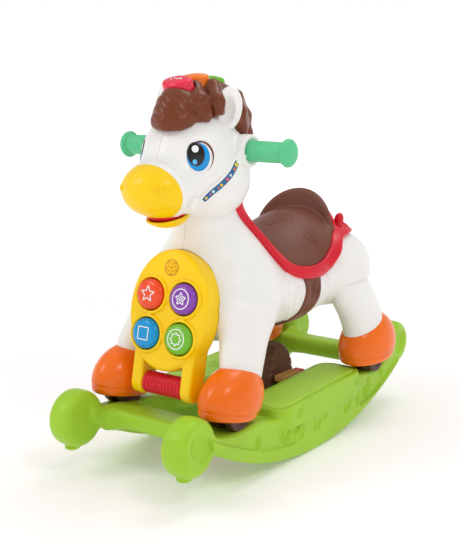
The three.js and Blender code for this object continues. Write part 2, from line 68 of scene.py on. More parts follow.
# ---------------------------------------------------------------- driving places, from the frame
WHEEL_FRONT = middle("wheel_front_left")
FRONT_FOOT = (WHEEL_FRONT[0], -197.0)
SHIFT = WHEEL_FRONT[1] - FRONT_FOOT[1]  # from the pony's own Y to the frame's Y
REAR_FOOT = tuple(pony_middle("wheel_rear_left")[:2])
HEAD_HANDLE = pony_middle("handle_bar")


# ---------------------------------------------------------------- camera, lights and floor
def make_camera():
    azimuth, elevation = math.radians(36), math.radians(11.48)
    data = bpy.data.cameras.new("camera")
    data.lens = 67.86
    data.sensor_width = 36
    data.clip_start = 0.05
    camera = bpy.data.objects.new("camera", data)
    camera.location = (0.8761, -1.2699 + SHIFT * MM, 0.5547)
    camera.rotation_euler = (math.pi / 2 - elevation, 0, azimuth)
    bpy.context.scene.collection.objects.link(camera)
    bpy.context.scene.camera = camera


def make_light(name, place, aim, size, power):
    data = bpy.data.lights.new(name, "AREA")
    data.shape = "DISK"
    data.size = size
    data.energy = power
    light = bpy.data.objects.new(name, data)
    light.location = place
    light.rotation_euler = (Vector(aim) - Vector(place)).to_track_quat("-Z", "Y").to_euler()
    bpy.context.scene.collection.objects.link(light)


def make_stage():
    reach = 14.0
    mesh = bpy.data.meshes.new("floor")
    corners = [(-reach, -reach, 0), (reach, -reach, 0), (reach, reach, 0), (-reach, reach, 0)]
    mesh.from_pydata(corners, [], [(0, 1, 2, 3)])
    floor = bpy.data.objects.new("floor", mesh)
    bpy.context.scene.collection.objects.link(floor)
    floor.data.materials.append(floor_material())
    make_world()
    bpy.context.scene.view_settings.view_transform = "Standard"
    make_light("key", (-1.3, -1.7, 1.9), (0, 0, 0.25), 1.1, 13)
    make_light("side", (1.7, -0.7, 2.1), (0, 0, 0.25), 0.6, 8.5)
    make_light("top", (0.2, 0.9, 2.4), (0, 0, 0.2), 1.2, 11)


def make_world():
    """A room that is white at the horizon, dimmer above it, and bright overhead."""
    world = bpy.data.worlds.new("studio")
    world.use_nodes = True
    nodes, links = world.node_tree.nodes, world.node_tree.links
    place = nodes.new("ShaderNodeTexCoord")
    parts = nodes.new("ShaderNodeSeparateXYZ")
    links.new(place.outputs["Generated"], parts.inputs["Vector"])
    ramp = nodes.new("ShaderNodeValToRGB")
    steps = ramp.color_ramp.elements
    steps.new(0.34)
    for step, (height, grey) in zip(steps, ((0.2, 1.0), (0.34, 0.4), (0.9, 0.78))):
        step.position = height
        step.color = (grey, grey, grey, 1)
    links.new(parts.outputs["Z"], ramp.inputs["Fac"])
    links.new(ramp.outputs["Color"], nodes["Background"].inputs["Color"])
    nodes["Background"].inputs["Strength"].default_value = 1.0
    bpy.context.scene.world = world


# ---------------------------------------------------------------- materials
def new_material(name):
    material = bpy.data.materials.new(name)
    material.use_nodes = True
    nodes = material.node_tree.nodes
    return material, nodes, material.node_tree.links, nodes["Principled BSDF"]


def tune(node, **sockets):
    """Set a node's input sockets. An underscore stands for a space in a socket's name."""
    for name, value in sockets.items():
        node.inputs[name.replace("_", " ")].default_value = value
    return node


def floor_material():
    """White paper that glows a little more away from the toy, so that it stays white up to the horizon."""
    material, nodes, links, shader = new_material("floor")
    tune(shader, Base_Color=(0.96, 0.915, 0.92, 1), Emission_Color=(1, 1, 1, 1), Roughness=0.9)
    place = nodes.new("ShaderNodeTexCoord")
    away = nodes.new("ShaderNodeVectorMath")
    away.operation = "LENGTH"
    links.new(place.outputs["Object"], away.inputs[0])
    glow = nodes.new("ShaderNodeMapRange")
    glow.interpolation_type = "SMOOTHSTEP"
    tune(glow, From_Min=0.7, From_Max=3.2, To_Min=0.14, To_Max=0.55)
    links.new(away.outputs["Value"], glow.inputs["Value"])
    links.new(glow.outputs["Result"], shader.inputs["Emission Strength"])
    return material


def plastic(name, colour, rough, grain=0.0, grain_size=0.0012, coat=0.0, metal=0.0, vary=0.04):
    """Moulded plastic: faint cloudy colour, uneven gloss, and a fine surface grain."""
    material, nodes, links, shader = new_material(name)
    place = nodes.new("ShaderNodeTexCoord")

    def noise(scale, detail, target):
        """Noise in the object's own space, linked to a node's socket."""
        made = tune(nodes.new("ShaderNodeTexNoise"), Scale=scale, Detail=detail)
        links.new(place.outputs["Object"], made.inputs["Vector"])
        links.new(made.outputs["Fac"], target)

    tint = nodes.new("ShaderNodeValToRGB")
    for end, spot, shade in zip(tint.color_ramp.elements, (0.3, 0.7), (1 - vary, 1 + vary)):
        end.color = (*(min(1, c * shade) for c in colour), 1)
        end.position = spot
    gloss = tune(nodes.new("ShaderNodeMapRange"), To_Min=max(0.02, rough - 0.025), To_Max=rough + 0.025)
    bump = tune(nodes.new("ShaderNodeBump"), Strength=0.015 + grain, Distance=0.0003)
    noise(14, 3, tint.inputs["Fac"])
    noise(60, 4, gloss.inputs["Value"])
    noise(1 / grain_size, 2, bump.inputs["Height"])
    links.new(tint.outputs["Color"], shader.inputs["Base Color"])
    links.new(gloss.outputs["Result"], shader.inputs["Roughness"])
    links.new(bump.outputs["Normal"], shader.inputs["Normal"])
    tune(shader, Specular_IOR_Level=0.27, Coat_Weight=coat, Coat_Roughness=0.12, Metallic=metal)
    return material


# Each plastic's colour and roughness, and what else sets it apart.
PLASTICS = {
    "white_shell": ((0.86, 0.85, 0.82), 0.36, {"coat": 0.1, "vary": 0.01}),
    "lime_plastic": ((0.35, 0.61, 0.03), 0.36, {"grain": 0.05}),
    "orange_hoof": ((0.9, 0.16, 0.006), 0.26, {"coat": 0.12}),
    "yellow_plastic": ((0.96, 0.62, 0.0), 0.33, {"coat": 0.1}),
    "amber_plastic": ((0.7, 0.33, 0.004), 0.3, {"coat": 0.1}),
    "hair_brown": ((0.165, 0.038, 0.011), 0.3, {"coat": 0.06}),
    "saddle_brown": ((0.17, 0.055, 0.032), 0.4, {"grain": 0.45, "grain_size": 0.0011}),
    "crimson_plastic": ((0.68, 0.012, 0.028), 0.3, {"coat": 0.06}),
    "handle_green": ((0.11, 0.56, 0.27), 0.42, {"grain": 0.08}),
    "wheel_brown": ((0.085, 0.033, 0.018), 0.42, {"grain": 0.05}),
    "dock_brown": ((0.13, 0.055, 0.03), 0.42, {"grain": 0.05}),
    "latch_tan": ((0.5, 0.25, 0.085), 0.4, {"grain": 0.05}),
    "latch_crimson": ((0.62, 0.02, 0.05), 0.3, {}),
    "steel": ((0.62, 0.63, 0.65), 0.3, {"metal": 1.0}),
    "circuit_board": ((0.03, 0.16, 0.08), 0.4, {}),
    "black_plastic": ((0.03, 0.03, 0.035), 0.5, {"grain": 0.1}),
    "button_red": ((0.86, 0.075, 0.02), 0.25, {"coat": 0.2}),
    "button_purple": ((0.24, 0.06, 0.42), 0.25, {"coat": 0.2}),
    "button_blue": ((0.0, 0.3, 0.66), 0.25, {"coat": 0.2}),
    "button_green": ((0.17, 0.5, 0.03), 0.25, {"coat": 0.2}),
    "mane_red": ((0.78, 0.02, 0.06), 0.25, {"coat": 0.2}),
    "mane_orange": ((0.93, 0.21, 0.01), 0.25, {"coat": 0.2}),
    "footrest_grip": ((0.45, 0.75, 0.065), 0.5, {"grain": 0.5, "grain_size": 0.0016}),
    "print_white": ((0.86, 0.86, 0.86), 0.4, {}),
    "lid_brown": ((0.16, 0.045, 0.02), 0.2, {"coat": 0.4}),
    "eye_white": ((0.86, 0.87, 0.88), 0.2, {"coat": 0.4}),
    "iris_blue": ((0.0, 0.27, 0.66), 0.2, {"coat": 0.4, "vary": 0.3}),
    "pupil_black": ((0.008, 0.007, 0.007), 0.15, {"coat": 0.5}),
    "spark_blue": ((0.1, 0.5, 0.85), 0.2, {"coat": 0.4}),
    "band_blue": ((0.02, 0.13, 0.32), 0.3, {"coat": 0.2}),
    "mark_yellow": ((0.9, 0.62, 0.0), 0.35, {}),
    "mark_orange": ((0.85, 0.2, 0.06), 0.35, {}),
    "mark_white": ((0.7, 0.78, 0.7), 0.35, {}),
    "mark_red": ((0.8, 0.12, 0.14), 0.35, {}),
}


# ---------------------------------------------------------------- distance fields, in millimetres
# A field takes p = (x, y, z), arrays that broadcast together, and is negative inside.
def oval_distance(offsets, radii):
    """Distance to an oval or ellipsoid round 0: right on its surface, and close to right near it."""
    unit = sum((q / r) ** 2 for q, r in zip(offsets, radii)) ** 0.5
    slope = sum((q / r**2) ** 2 for q, r in zip(offsets, radii)) ** 0.5
    return unit * (unit - 1) / (slope + 1e-6)


def ellipsoid(p, centre, radii, turn=None):
    q = [p[k] - centre[k] for k in range(3)]
    if turn is not None:
        axes = np.array(turn_matrix(*turn).transposed())
        q = [sum(float(axes[k][m]) * q[m] for m in range(3)) for k in range(3)]
    return oval_distance(q, radii)


def turn_matrix(x, y, z):
    """A rotation by degrees about X, then Y, then Z."""
    spins = (Matrix.Rotation(math.radians(a), 3, axis) for a, axis in ((z, "Z"), (y, "Y"), (x, "X")))
    last, second, first = spins
    return last @ second @ first


def join(a, b, soft=0.0):
    if soft <= 0:
        return np.minimum(a, b)
    h = np.clip(0.5 + 0.5 * (b - a) / soft, 0, 1)
    return b * (1 - h) + a * h - soft * h * (1 - h)


def cut(a, b, soft=0.0):
    return -join(-a, b, soft)


def both(a, b, soft=0.0):
    return -join(-a, -b, soft)


def limb(p, stages):
    """An upright limb through its stages (x, y, z, half width, half length, slope), from the bottom up."""
    table = np.array([(*s, 0)[:6] for s in stages], float)
    heights = table[:, 2]
    z = p[2]
    for _ in range(2):
        cx, cy, a, b, slope = (smooth_between(z, heights, table[:, k]) for k in (0, 1, 3, 4, 5))
        z = p[2] + slope * (p[1] - cy)
    side = oval_distance((p[0] - cx, p[1] - cy), (a, b))
    ends = np.maximum(heights[0] - z, z - heights[-1])
    return both(side, ends, 4)


def smooth_between(z, heights, values):
    """A smooth curve through (heights, values), level beyond both ends."""
    slopes = np.gradient(values, heights)
    at = np.clip(z, heights[0], heights[-1])
    i = np.clip(np.searchsorted(heights, at, side="right") - 1, 0, len(heights) - 2)
    span = (heights[i + 1] - heights[i])
    t = (at - heights[i]) / span
    rise = (2 * t**3 - 3 * t**2 + 1) * values[i] + (3 * t**2 - 2 * t**3) * values[i + 1]
    return rise + span * ((t**3 - 2 * t**2 + t) * slopes[i] + (t**3 - t**2) * slopes[i + 1])


def chain(p, points, radii, soft=6.0):
    """A soft tube through points, with a radius at each."""
    whole = None
    for a, b, ra, rb in zip(points, points[1:], radii, radii[1:]):
        ab = [b[k] - a[k] for k in range(3)]
        ap = [p[k] - a[k] for k in range(3)]
        t = np.clip(sum(ap[k] * ab[k] for k in range(3)) / sum(v * v for v in ab), 0, 1)
        gap = sum((ap[k] - t * ab[k]) ** 2 for k in range(3)) ** 0.5 - (ra + (rb - ra) * t)
        whole = gap if whole is None else join(whole, gap, soft)
    return whole


def outline_distance(u, v, points):
    """Signed distance in the plane to a closed outline, negative inside it."""
    shape = np.broadcast(u, v).shape
    best = np.full(shape, 1e9)
    inside = np.zeros(shape, bool)
    for (au, av), (bu, bv) in zip(points, points[1:] + points[:1]):
        eu, ev = bu - au, bv - av
        t = np.clip(((u - au) * eu + (v - av) * ev) / (eu * eu + ev * ev), 0, 1)
        best = np.minimum(best, (u - au - t * eu) ** 2 + (v - av - t * ev) ** 2)
        if ev != 0:
            crosses = ((av > v) != (bv > v)) & (u < eu * (v - av) / ev + au)
            inside = inside ^ crosses
    return np.where(inside, -1, 1) * best**0.5


def ease(t):
    """From 0 to 1 with level ends."""
    t = np.clip(t, 0, 1)
    return t * t * (3 - 2 * t)


def leaning(p, spot, lean):
    """p seen from spot, in axes that lean by an angle about X."""
    c, s = math.cos(lean), math.sin(lean)
    y, z = p[1] - spot[1], p[2] - spot[2]
    return p[0], y * c - z * s, y * s + z * c


def rounded_open(points, steps=7):
    """An open Catmull-Rom curve through points."""
    ends = np.array([points[0], *points, points[-1]], float)
    made = []
    for a, b, c, d in zip(ends, ends[1:], ends[2:], ends[3:]):
        for t in np.linspace(0, 1, steps, endpoint=False):
            curve = 2 * b + (c - a) * t + (2 * a - 5 * b + 4 * c - d) * t**2
            made.append(0.5 * (curve + (3 * b - a - 3 * c + d) * t**3))
    return [*made, ends[-1]]


# ---------------------------------------------------------------- meshes as (points, faces)
def skin(field, low, high, cell):
    """The surface where field is 0, inside a box: surface nets, with each point moved onto the surface."""
    low = np.array(low, float)
    axes = [np.arange(a, b + cell, cell, dtype=np.float32) for a, b in zip(low, high)]
    shape = np.array([len(a) for a in axes])
    value = np.broadcast_to(field(np.meshgrid(*axes, indexing="ij", sparse=True)), shape)
    inside = value < 0
    cells = shape - 1
    size = int(cells.prod())
    total = np.zeros((3, size))
    count = np.zeros(size)
    quads = []
    for k in range(3):
        i, j = (k + 1) % 3, (k + 2) % 3
        near = tuple(slice(0, -1) if m == k else slice(None) for m in range(3))
        far = tuple(slice(1, None) if m == k else slice(None) for m in range(3))
        edge = np.argwhere(inside[near] != inside[far])
        start, stop = value[near][tuple(edge.T)], value[far][tuple(edge.T)]
        spot = edge.astype(float)
        spot[:, k] += start / (start - stop)
        ring = []
        for di, dj in ((0, 0), (-1, 0), (-1, -1), (0, -1)):
            at = edge.copy()
            at[:, i] += di
            at[:, j] += dj
            valid = ((at >= 0) & (at < cells)).all(1)
            index = np.ravel_multi_index(np.clip(at, 0, cells - 1).T, cells)
            for m in range(3):
                total[m] += np.bincount(index[valid], spot[valid, m], size)
            count += np.bincount(index[valid], minlength=size)
            ring.append((index, valid))
        whole = np.logical_and.reduce([valid for _, valid in ring])
        corners = np.stack([index for index, _ in ring], 1)[whole]
        outward = inside[near][tuple(edge.T)][whole]
        corners[~outward] = corners[~outward][:, ::-1]
        quads.append(corners)
    used = count > 0
    number = np.cumsum(used) - 1
    points = (total[:, used] / count[used]).T * cell + low
    for _ in range(3):
        points = onto(field, points, cell / 2)
    return points, number[np.concatenate(quads)].tolist()


def gradient(field, points, step=0.2):
    here = field(points.T)
    slope = [(field((points + step * np.eye(3)[k]).T) - here) / step for k in range(3)]
    return here, np.stack(slope, 1)


def onto(field, points, limit):
    """Points moved along the field's slope to where it is 0, by at most limit."""
    here, slope = gradient(field, points)
    length = np.maximum((slope**2).sum(1), 0.05)
    move = -slope * (here / length)[:, None]
    size = np.sqrt((move**2).sum(1)) + 1e-9
    return points + move * np.minimum(1, limit / size)[:, None]


def clip(mesh, level):
    """The part of a mesh where level(p) is at least 0, cut cleanly along it."""
    points, faces = mesh
    value = level(points.T)
    kept = value >= 0
    made, extra, result = [], {}, []

    def crossing(a, b):
        key = (min(a, b), max(a, b))
        if key not in extra:
            t = value[a] / (value[a] - value[b])
            extra[key] = len(points) + len(made)
            made.append(points[a] * (1 - t) + points[b] * t)
        return extra[key]

    for face in faces:
        flags = [kept[i] for i in face]
        if all(flags):
            result.append(face)
        elif any(flags):
            corners = []
            for i, j in zip(face, face[1:] + face[:1]):
                if kept[i]:
                    corners.append(i)
                if kept[i] != kept[j]:
                    corners.append(crossing(i, j))
            if len(corners) > 2:
                result.append(corners)
    return compact((np.concatenate([points, np.array(made).reshape(-1, 3)]), result))


def compact(mesh):
    points, faces = mesh
    used = np.zeros(len(points), bool)
    for face in faces:
        used[face] = True
    number = (np.cumsum(used) - 1).tolist()
    return points[used], [[number[i] for i in face] for face in faces]


def normals(mesh):
    points, faces = mesh
    total = np.zeros_like(points)
    for face in faces:
        a, b, c = points[face[0]], points[face[1]], points[face[2]]
        area = np.cross(b - a, c - a)
        if len(face) > 3:
            area = area + np.cross(c - a, points[face[3]] - a)
        for i in face:
            total[i] += area
    return total / (np.linalg.norm(total, axis=1, keepdims=True) + 1e-12)


def rim(mesh, depth=1.6, radius=0.4):
    """A mesh whose open edges turn inwards: a rounded edge, then a wall going down by depth."""
    points, faces = mesh
    owner = dict.fromkeys(edge for face in faces for edge in zip(face, face[1:] + face[:1]))
    edges = [(i, j) for i, j in owner if (j, i) not in owner]
    if not edges:
        return mesh
    facing = normals(mesh)
    away = np.zeros_like(points)
    for i, j in edges:
        out = np.cross(points[j] - points[i], facing[i])
        away[i] += out
        away[j] += out
    on_edge = sorted({i for edge in edges for i in edge})
    away[on_edge] /= np.linalg.norm(away[on_edge], axis=1, keepdims=True) + 1e-12
    pieces, extra = [points], []
    inner = {i: i for i in on_edge}
    for level, (turn, down) in enumerate(((35, 0), (65, 0), (90, 0), (90, depth))):
        a = math.radians(turn)
        ring = radius * math.sin(a) * away - (radius * (1 - math.cos(a)) + down) * facing
        pieces.append(points[on_edge] + ring[on_edge])
        first = len(points) + level * len(on_edge)
        outer, inner = inner, {i: first + n for n, i in enumerate(on_edge)}
        extra += [[outer[j], outer[i], inner[i], inner[j]] for i, j in edges]
    return np.concatenate(pieces), faces + extra


def mirrored(mesh):
    points, faces = mesh
    return points * (-1, 1, 1), [face[::-1] for face in faces]


def moved(mesh, place, turn=(0, 0, 0)):
    points, faces = mesh
    return points @ np.array(turn_matrix(*turn)).T + np.array(place), faces


def merged(*meshes):
    points, faces, first = [], [], 0
    for part_points, part_faces in meshes:
        points.append(part_points)
        faces += [[i + first for i in face] for face in part_faces]
        first += len(part_points)
    return np.concatenate(points), faces


def strip_faces(rows, span, closed=False, ring=False):
    """Quads over rows of span points each. closed: the last row meets the first. ring: each row closes."""
    faces = []
    for i in range(rows if closed else rows - 1):
        a, b = i * span, (i + 1) % rows * span
        for s in range(span if ring else span - 1):
            t = (s + 1) % span
            faces.append([a + s, a + t, b + t, b + s])
    return faces


def spun(profile, sides=48):
    """A profile of (along, radius) pairs spun round the X axis. It runs from the low end to the high end."""
    turns = np.linspace(0, 2 * math.pi, sides, endpoint=False)
    points = [(a, r * math.cos(t), r * math.sin(t)) for a, r in profile for t in turns]
    return np.array(points, float), strip_faces(len(profile), sides, ring=True)


def rounded_profile(corners, radius, steps=5):
    """A profile with each inner corner (along, radius) rounded off."""
    made = [corners[0]]
    for before, here, after in zip(corners, corners[1:], corners[2:]):
        here = np.array(here, float)
        back, on = np.array(before) - here, np.array(after) - here
        room = min(radius, np.linalg.norm(back) * 0.48, np.linalg.norm(on) * 0.48)
        start = here + back / np.linalg.norm(back) * room
        stop = here + on / np.linalg.norm(on) * room
        for s in range(steps + 1):
            t = s / steps
            made.append(tuple((1 - t) ** 2 * start + 2 * t * (1 - t) * here + t * t * stop))
    return made + [corners[-1]]


# ---------------------------------------------------------------- pieces
def piece(name, mesh, material, body, replaces=(), pony=True, weld=0.0):
    """A finished Blender object from a mesh in millimetres. pony: the mesh is in the pony's own frame."""
    points, faces = mesh
    offset = np.array((0, SHIFT if pony else 0, 0))
    data = bpy.data.meshes.new(name)
    data.from_pydata(((points + offset) * MM).tolist(), [], faces)
    data.validate()
    data.shade_smooth()
    data.materials.append(MATERIALS[material])
    made = bpy.data.objects.new(name, data)
    bpy.context.scene.collection.objects.link(made)
    if weld:
        modifier = made.modifiers.new("weld", "WELD")
        modifier.merge_threshold = weld * MM
    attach(made, body)
    if replaces:
        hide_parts(*replaces)
    return made


def pair(name, mesh, material, nodes=(), body="horse", weld=0.0):
    """A left piece and its mirror image on the right. {} in a name stands for the side."""
    for side, form in (("left", mesh), ("right", mirrored(mesh))):
        piece(name.format(side), form, material, body, [node.format(side) for node in nodes], weld=weld)


def shell_pair(node, mesh, *extra):
    """The white shells of both sides, with turned-in edges and anything extra that lies on them."""
    mesh = merged(rim(mesh, 2.0, 0.45), *extra)
    pair(node + "_{}_skin", mesh, "white_shell", [node + "_{}"], weld=0.15)


SURFACES = {}


def surface_tree(mesh):
    points, faces = mesh
    return BVHTree.FromPolygons([tuple(v) for v in points.tolist()], faces)


def drop(tree, point, direction, lift=0.0):
    """Where a ray from point along direction first meets the surface, raised by lift, and its normal."""
    hit, normal, _, _ = tree.ray_cast(Vector(point), Vector(direction))
    if hit is None:
        hit, normal, _, _ = tree.find_nearest(Vector(point))
    if normal.dot(Vector(direction)) > 0:
        normal = -normal
    return np.array(hit) + lift * np.array(normal), np.array(normal)


def landing(tree, points, direction):
    """Where points land on the surface, and the surface's normals there."""
    landed = [drop(tree, p, direction) for p in points]
    return np.array([spot for spot, _ in landed]), np.array([up for _, up in landed])


def bead(tree, points, direction, width, height, closed=False, steps=8):
    """A raised line laid on a surface: a low half-round strip along points dropped on it."""
    spots, ups = landing(tree, points, direction)
    n = len(spots)
    along = np.roll(spots, -1, 0) - np.roll(spots, 1, 0) if closed else np.gradient(spots, axis=0)
    side = np.cross(along, ups)
    side /= np.linalg.norm(side, axis=1, keepdims=True) + 1e-9
    made = []
    for i in range(n):
        size = 1.0 if closed else min(1.0, 0.15 + 4.0 * min(i, n - 1 - i) / n)
        for s in range(steps + 1):
            turn = math.pi * s / steps
            out = size * width / 2 * math.cos(turn)
            up = size * height * math.sin(turn) - 0.25
            made.append(spots[i] + side[i] * out + ups[i] * up)
    return np.array(made), strip_faces(n, steps + 1, closed)


def patch(tree, outline, direction, lift, rings=6):
    """A thin flat plate laid on a surface inside a closed outline, standing lift above it."""
    outline = [np.array(p, float) for p in outline]
    centre = sum(outline) / len(outline)
    n = len(outline)
    levels = [(ring / rings, lift) for ring in range(1, rings + 1)] + [(1.0025, -0.4)]
    points = [drop(tree, centre, direction, lift)[0]]
    for share, height in levels:
        points += [drop(tree, centre + (p - centre) * share, direction, height)[0] for p in outline]
    faces = []
    for i in range(n):
        j = (i + 1) % n
        faces.append([0, 1 + i, 1 + j])
        for ring in range(rings):
            a, b = 1 + ring * n, 1 + (ring + 1) * n
            faces.append([a + i, b + i, b + j, a + j])
    made = (np.array(points), faces)
    if np.dot(normals(made)[0], np.array(direction, float)) > 0:
        made = (made[0], [face[::-1] for face in faces])
    return made


def oval(centre, across, up, a, b, steps=40, turn=0.0):
    """Points round an oval in the plane of the unit vectors across and up."""
    c, s = math.cos(math.radians(turn)), math.sin(math.radians(turn))
    made = []
    for i in range(steps):
        angle = math.radians(360 * i / steps)
        u, v = a * math.cos(angle), b * math.sin(angle)
        made.append(np.array(centre) + (u * c - v * s) * np.array(across) + (u * s + v * c) * np.array(up))
    return made


def surface_frame(tree, point, direction):
    """The spot where a ray meets the surface, and the surface's up, across and over there."""
    spot, up = drop(tree, point, direction)
    across = np.cross((0, 0, 1), up)
    across /= np.linalg.norm(across)
    return spot, up, across, np.cross(up, across)


def oval_bead(tree, start, aim, a, b, width):
    """A raised oval where a ray from start along aim meets the surface."""
    spot, up, across, over = surface_frame(tree, start, aim)
    return bead(tree, oval(spot + up * 15, across, over, a, b, 36), tuple(-up), width, 1.2, closed=True)


# ---------------------------------------------------------------- body
FRONT_LEG = [
    (93, -170, 130, 23, 36),
    (92.5, -166, 148, 23.5, 38),
    (91, -161, 168, 25, 41),
    (83, -145, 195, 28, 46),
    (70, -124, 232, 33, 54),
]
REAR_LEG = [
    (105, 151, 130, 27.5, 42),
    (105, 148, 148, 28, 43),
    (103, 143, 168, 29, 45),
    (96, 134, 195, 28, 49),
    (88, 127, 225, 24, 47),
]
NECK = [
    (0, -98, 270, 68, 78),
    (0, -107, 300, 57, 64),
    (0, -115, 325, 49, 54),
    (0, -124, 360, 43, 46),
    (0, -128, 400, 42, 44),
]
PANEL_LEAN = 0.21
PANEL_SPOT = (0, -211, 229.7)
PANEL_HALF = (67, 83.5)


def sided(p):
    return (np.abs(p[0]), p[1], p[2])


def body_field(p, grow=0.0):
    q = sided(p)
    trunk = ellipsoid(p, (0, 15, 236), (98, 176, 66))
    whole = join(trunk, ellipsoid(p, (0, -100, 250), (85, 85, 84)), 26)
    whole = join(whole, ellipsoid(p, (0, 140, 247), (72, 70, 54)), 16)
    whole = join(whole, limb(p, NECK), 32)
    whole = join(whole, ellipsoid(q, (60, -118, 232), (42, 58, 56)), 26)
    whole = join(whole, limb(q, FRONT_LEG), 22)
    whole = join(whole, ellipsoid(q, (56, 128, 243), (55, 80, 58)), 14)
    return whole - grow


def oval_side(q, grow=0.0):
    """Distance in the panel's plane to its oval outline."""
    return oval_distance((q[0], q[2]), (PANEL_HALF[0] + grow, PANEL_HALF[1] + grow))


def panel_room(p):
    """The recess in the chest that the panel sits in, with a gap round it."""
    q = leaning(p, PANEL_SPOT, PANEL_LEAN)
    return both(oval_side(q, 1.2), q[1] - 30, 2)


SEAM = 0.65  # each shell is cut this far from the middle plane, and its rounded edge comes 0.45 nearer
FLANK = [
    (-42, 270), (-50, 245), (-47, 225), (-38, 205), (-20, 186), (30, 180), (52, 194), (67, 215), (73, 238),
    (70, 270),
]

def shell_body(p):
    """The body's skin, with a slightly raised pad on each flank."""
    return body_field(p) - 1.7 * ease(0.5 - outline_distance(p[1], p[2], FLANK) / 1.8)


def make_body():
    mesh = skin(shell_body, (-6, -215, 118), (136, 222, 420), 2.6)
    tree = surface_tree(mesh)
    medals = []
    for y, z, a, b in ((-29, 226, 8.5, 16), (-29, 226, 4.5, 10), (49, 233, 7.5, 14), (49, 233, 4, 8.5)):
        medals.append(oval_bead(tree, (150, y, z), (-1, 0, 0), a, b, 2.4))
    mesh = clip(mesh, lambda p: p[0] - SEAM)
    mesh = clip(mesh, lambda p: head_field(p) - 0.3)
    shell_pair("body_shell", clip(mesh, panel_room), *medals)
    leg = skin(lambda p: limb(p, REAR_LEG), (52, 66, 126), (142, 205, 230), 2.4)
    shell_pair("rear_leg", clip(leg, lambda p: body_field(p) + 3))


# ---------------------------------------------------------------- head
HEAD = ((0, -150, 426), (69, 75, 76))
SNOUT = ((0, -198, 398), (47, 48, 42))
CHEEK = ((28, -138, 405), (44, 56, 54))
MUZZLE = ((0, -226, 395), (47.5, 46, 35.5))
SEAM_SPOT, SEAM_FACE = np.array((0, -235.5, 396.0)), np.array((0, -0.958, -0.287))
LIP = ((0, -209, 362), (30, 35, 20))
BOSS = 20.5


def boss_field(p):
    """The round boss on each side of the head that a grip comes out of."""
    around = ((p[1] - HEAD_HANDLE[1]) ** 2 + (p[2] - HEAD_HANDLE[2]) ** 2) ** 0.5 - BOSS
    return both(around, np.abs(p[0]) - 77, 6)


def seam_level(p):
    """Distance in front of the plane where the muzzle meets the head."""
    return sum((p[k] - SEAM_SPOT[k]) * SEAM_FACE[k] for k in range(3))


def head_field(p):
    whole = join(ellipsoid(p, *HEAD), ellipsoid(p, *SNOUT), 16)
    whole = join(whole, ellipsoid(sided(p), *CHEEK), 12)
    whole = join(whole, ellipsoid(p, *MUZZLE), 14)
    whole = join(whole, boss_field(p), 9)
    return whole - 1.5 * ease((seam_level(p) + 12) / 1.8)


def make_head():
    mesh = skin(head_field, (-6, -278, 336), (84, -64, 512), 2.2)
    SURFACES["head"] = surface_tree(mesh)
    mesh = clip(mesh, lambda p: p[0] - SEAM)
    shell_pair("head_shell", clip(mesh, lambda p: -0.45 - seam_level(p)))

    def muzzle_field(p):
        return head_field(p) + 0.45 * np.exp(-((p[0] / 0.9) ** 2))

    muzzle = skin(muzzle_field, (-54, -280, 350), (54, -196, 440), 1.5)
    muzzle = rim(clip(muzzle, lambda p: seam_level(p) - 0.45), 2.0, 0.6)
    muzzle = merged(muzzle, *make_nostrils(surface_tree(muzzle)))
    piece("muzzle_skin", muzzle, "yellow_plastic", "horse", ["muzzle"])

    def lip_field(p):
        bowl = both(ellipsoid(p, *LIP), p[2] - 351.5 - 0.22 * (p[1] + 240), 4)
        hollow = ellipsoid(p, LIP[0], [r - 4.5 for r in LIP[1]])
        return cut(bowl, both(hollow, 347 - p[2], 2), 2)

    lip = skin(lip_field, (-36, -250, 338), (36, -166, 380), 1.4)
    piece("lower_lip_skin", lip, "yellow_plastic", "horse", ["lower_lip"])

    def mouth_field(p):
        return both(ellipsoid(p, (LIP[0][0], LIP[0][1], 366), (27, 32, 17)), 348 - p[2], 2)

    mouth = skin(mouth_field, (-34, -246, 344), (34, -168, 384), 1.8)
    piece("mouth_inside", mouth, "crimson_plastic", "horse")

# ---------------------------------------------------------------- rocker base
ROCK_RADIUS, ROCK_Y, ROCK_REST = 497.0, -14.0, 28.0
RAIL_IN, RAIL_OUT = 74.0, 122.0
DECK_X, DECK_Y, DECK_CORNER = (48.0, 125.0), (-112.0, 120.0), 26.0
BUMPER_FRONT = pony_middle("bumper_front_left")
BUMPER_REAR = pony_middle("bumper_rear_left")
# Heights along the rail, as (y, z): its top, the edge of the lower band measured from the running edge, and
# the top of the hill on the flank.
RAIL_TOP = [
    (-290, 100), (-272, 96), (-246, 84), (-222, 80), (-160, 80), (-120, 72), (130, 80), (150, 78), (185, 79),
    (214, 94), (250, 112),
]
BAND_TOP = [(-290, 16), (-226, 20), (-147, 19.5), (-55, 23), (60, 24), (110, 16), (160, 10), (240, 8)]
HILL_TOP = [(-90, 30), (-72, 40), (-60, 48), (-33, 57), (0, 63), (38, 63.5), (68, 60), (95, 54), (125, 44)]


def running_edge(y):
    """Height of the curved lower edge, flat for a short stretch so that the toy rests level."""
    away = np.maximum(np.abs(y - ROCK_Y), ROCK_REST)
    return math.sqrt(ROCK_RADIUS**2 - ROCK_REST**2) - np.sqrt(np.maximum(ROCK_RADIUS**2 - away**2, 1))


def along_curve(y, table):
    return smooth_between(y, *np.array(table, float).T)


def box_distance(u, v, corner):
    """Rounded-box distance from the distances to its two pairs of faces."""
    inner = np.minimum(np.maximum(u, v) + corner, 0)
    return np.hypot(np.maximum(u + corner, 0), np.maximum(v + corner, 0)) + inner - corner


def deck_plan(x, y, inset=0.0):
    """Distance in plan to the footrest's rounded outline."""
    u = np.abs(x - sum(DECK_X) / 2) - (DECK_X[1] - DECK_X[0]) / 2 + inset
    v = np.abs(y - sum(DECK_Y) / 2) - (DECK_Y[1] - DECK_Y[0]) / 2 + inset
    return box_distance(u, v, DECK_CORNER - inset)


def deck_top(y):
    return 86.5 + 0.035 * y


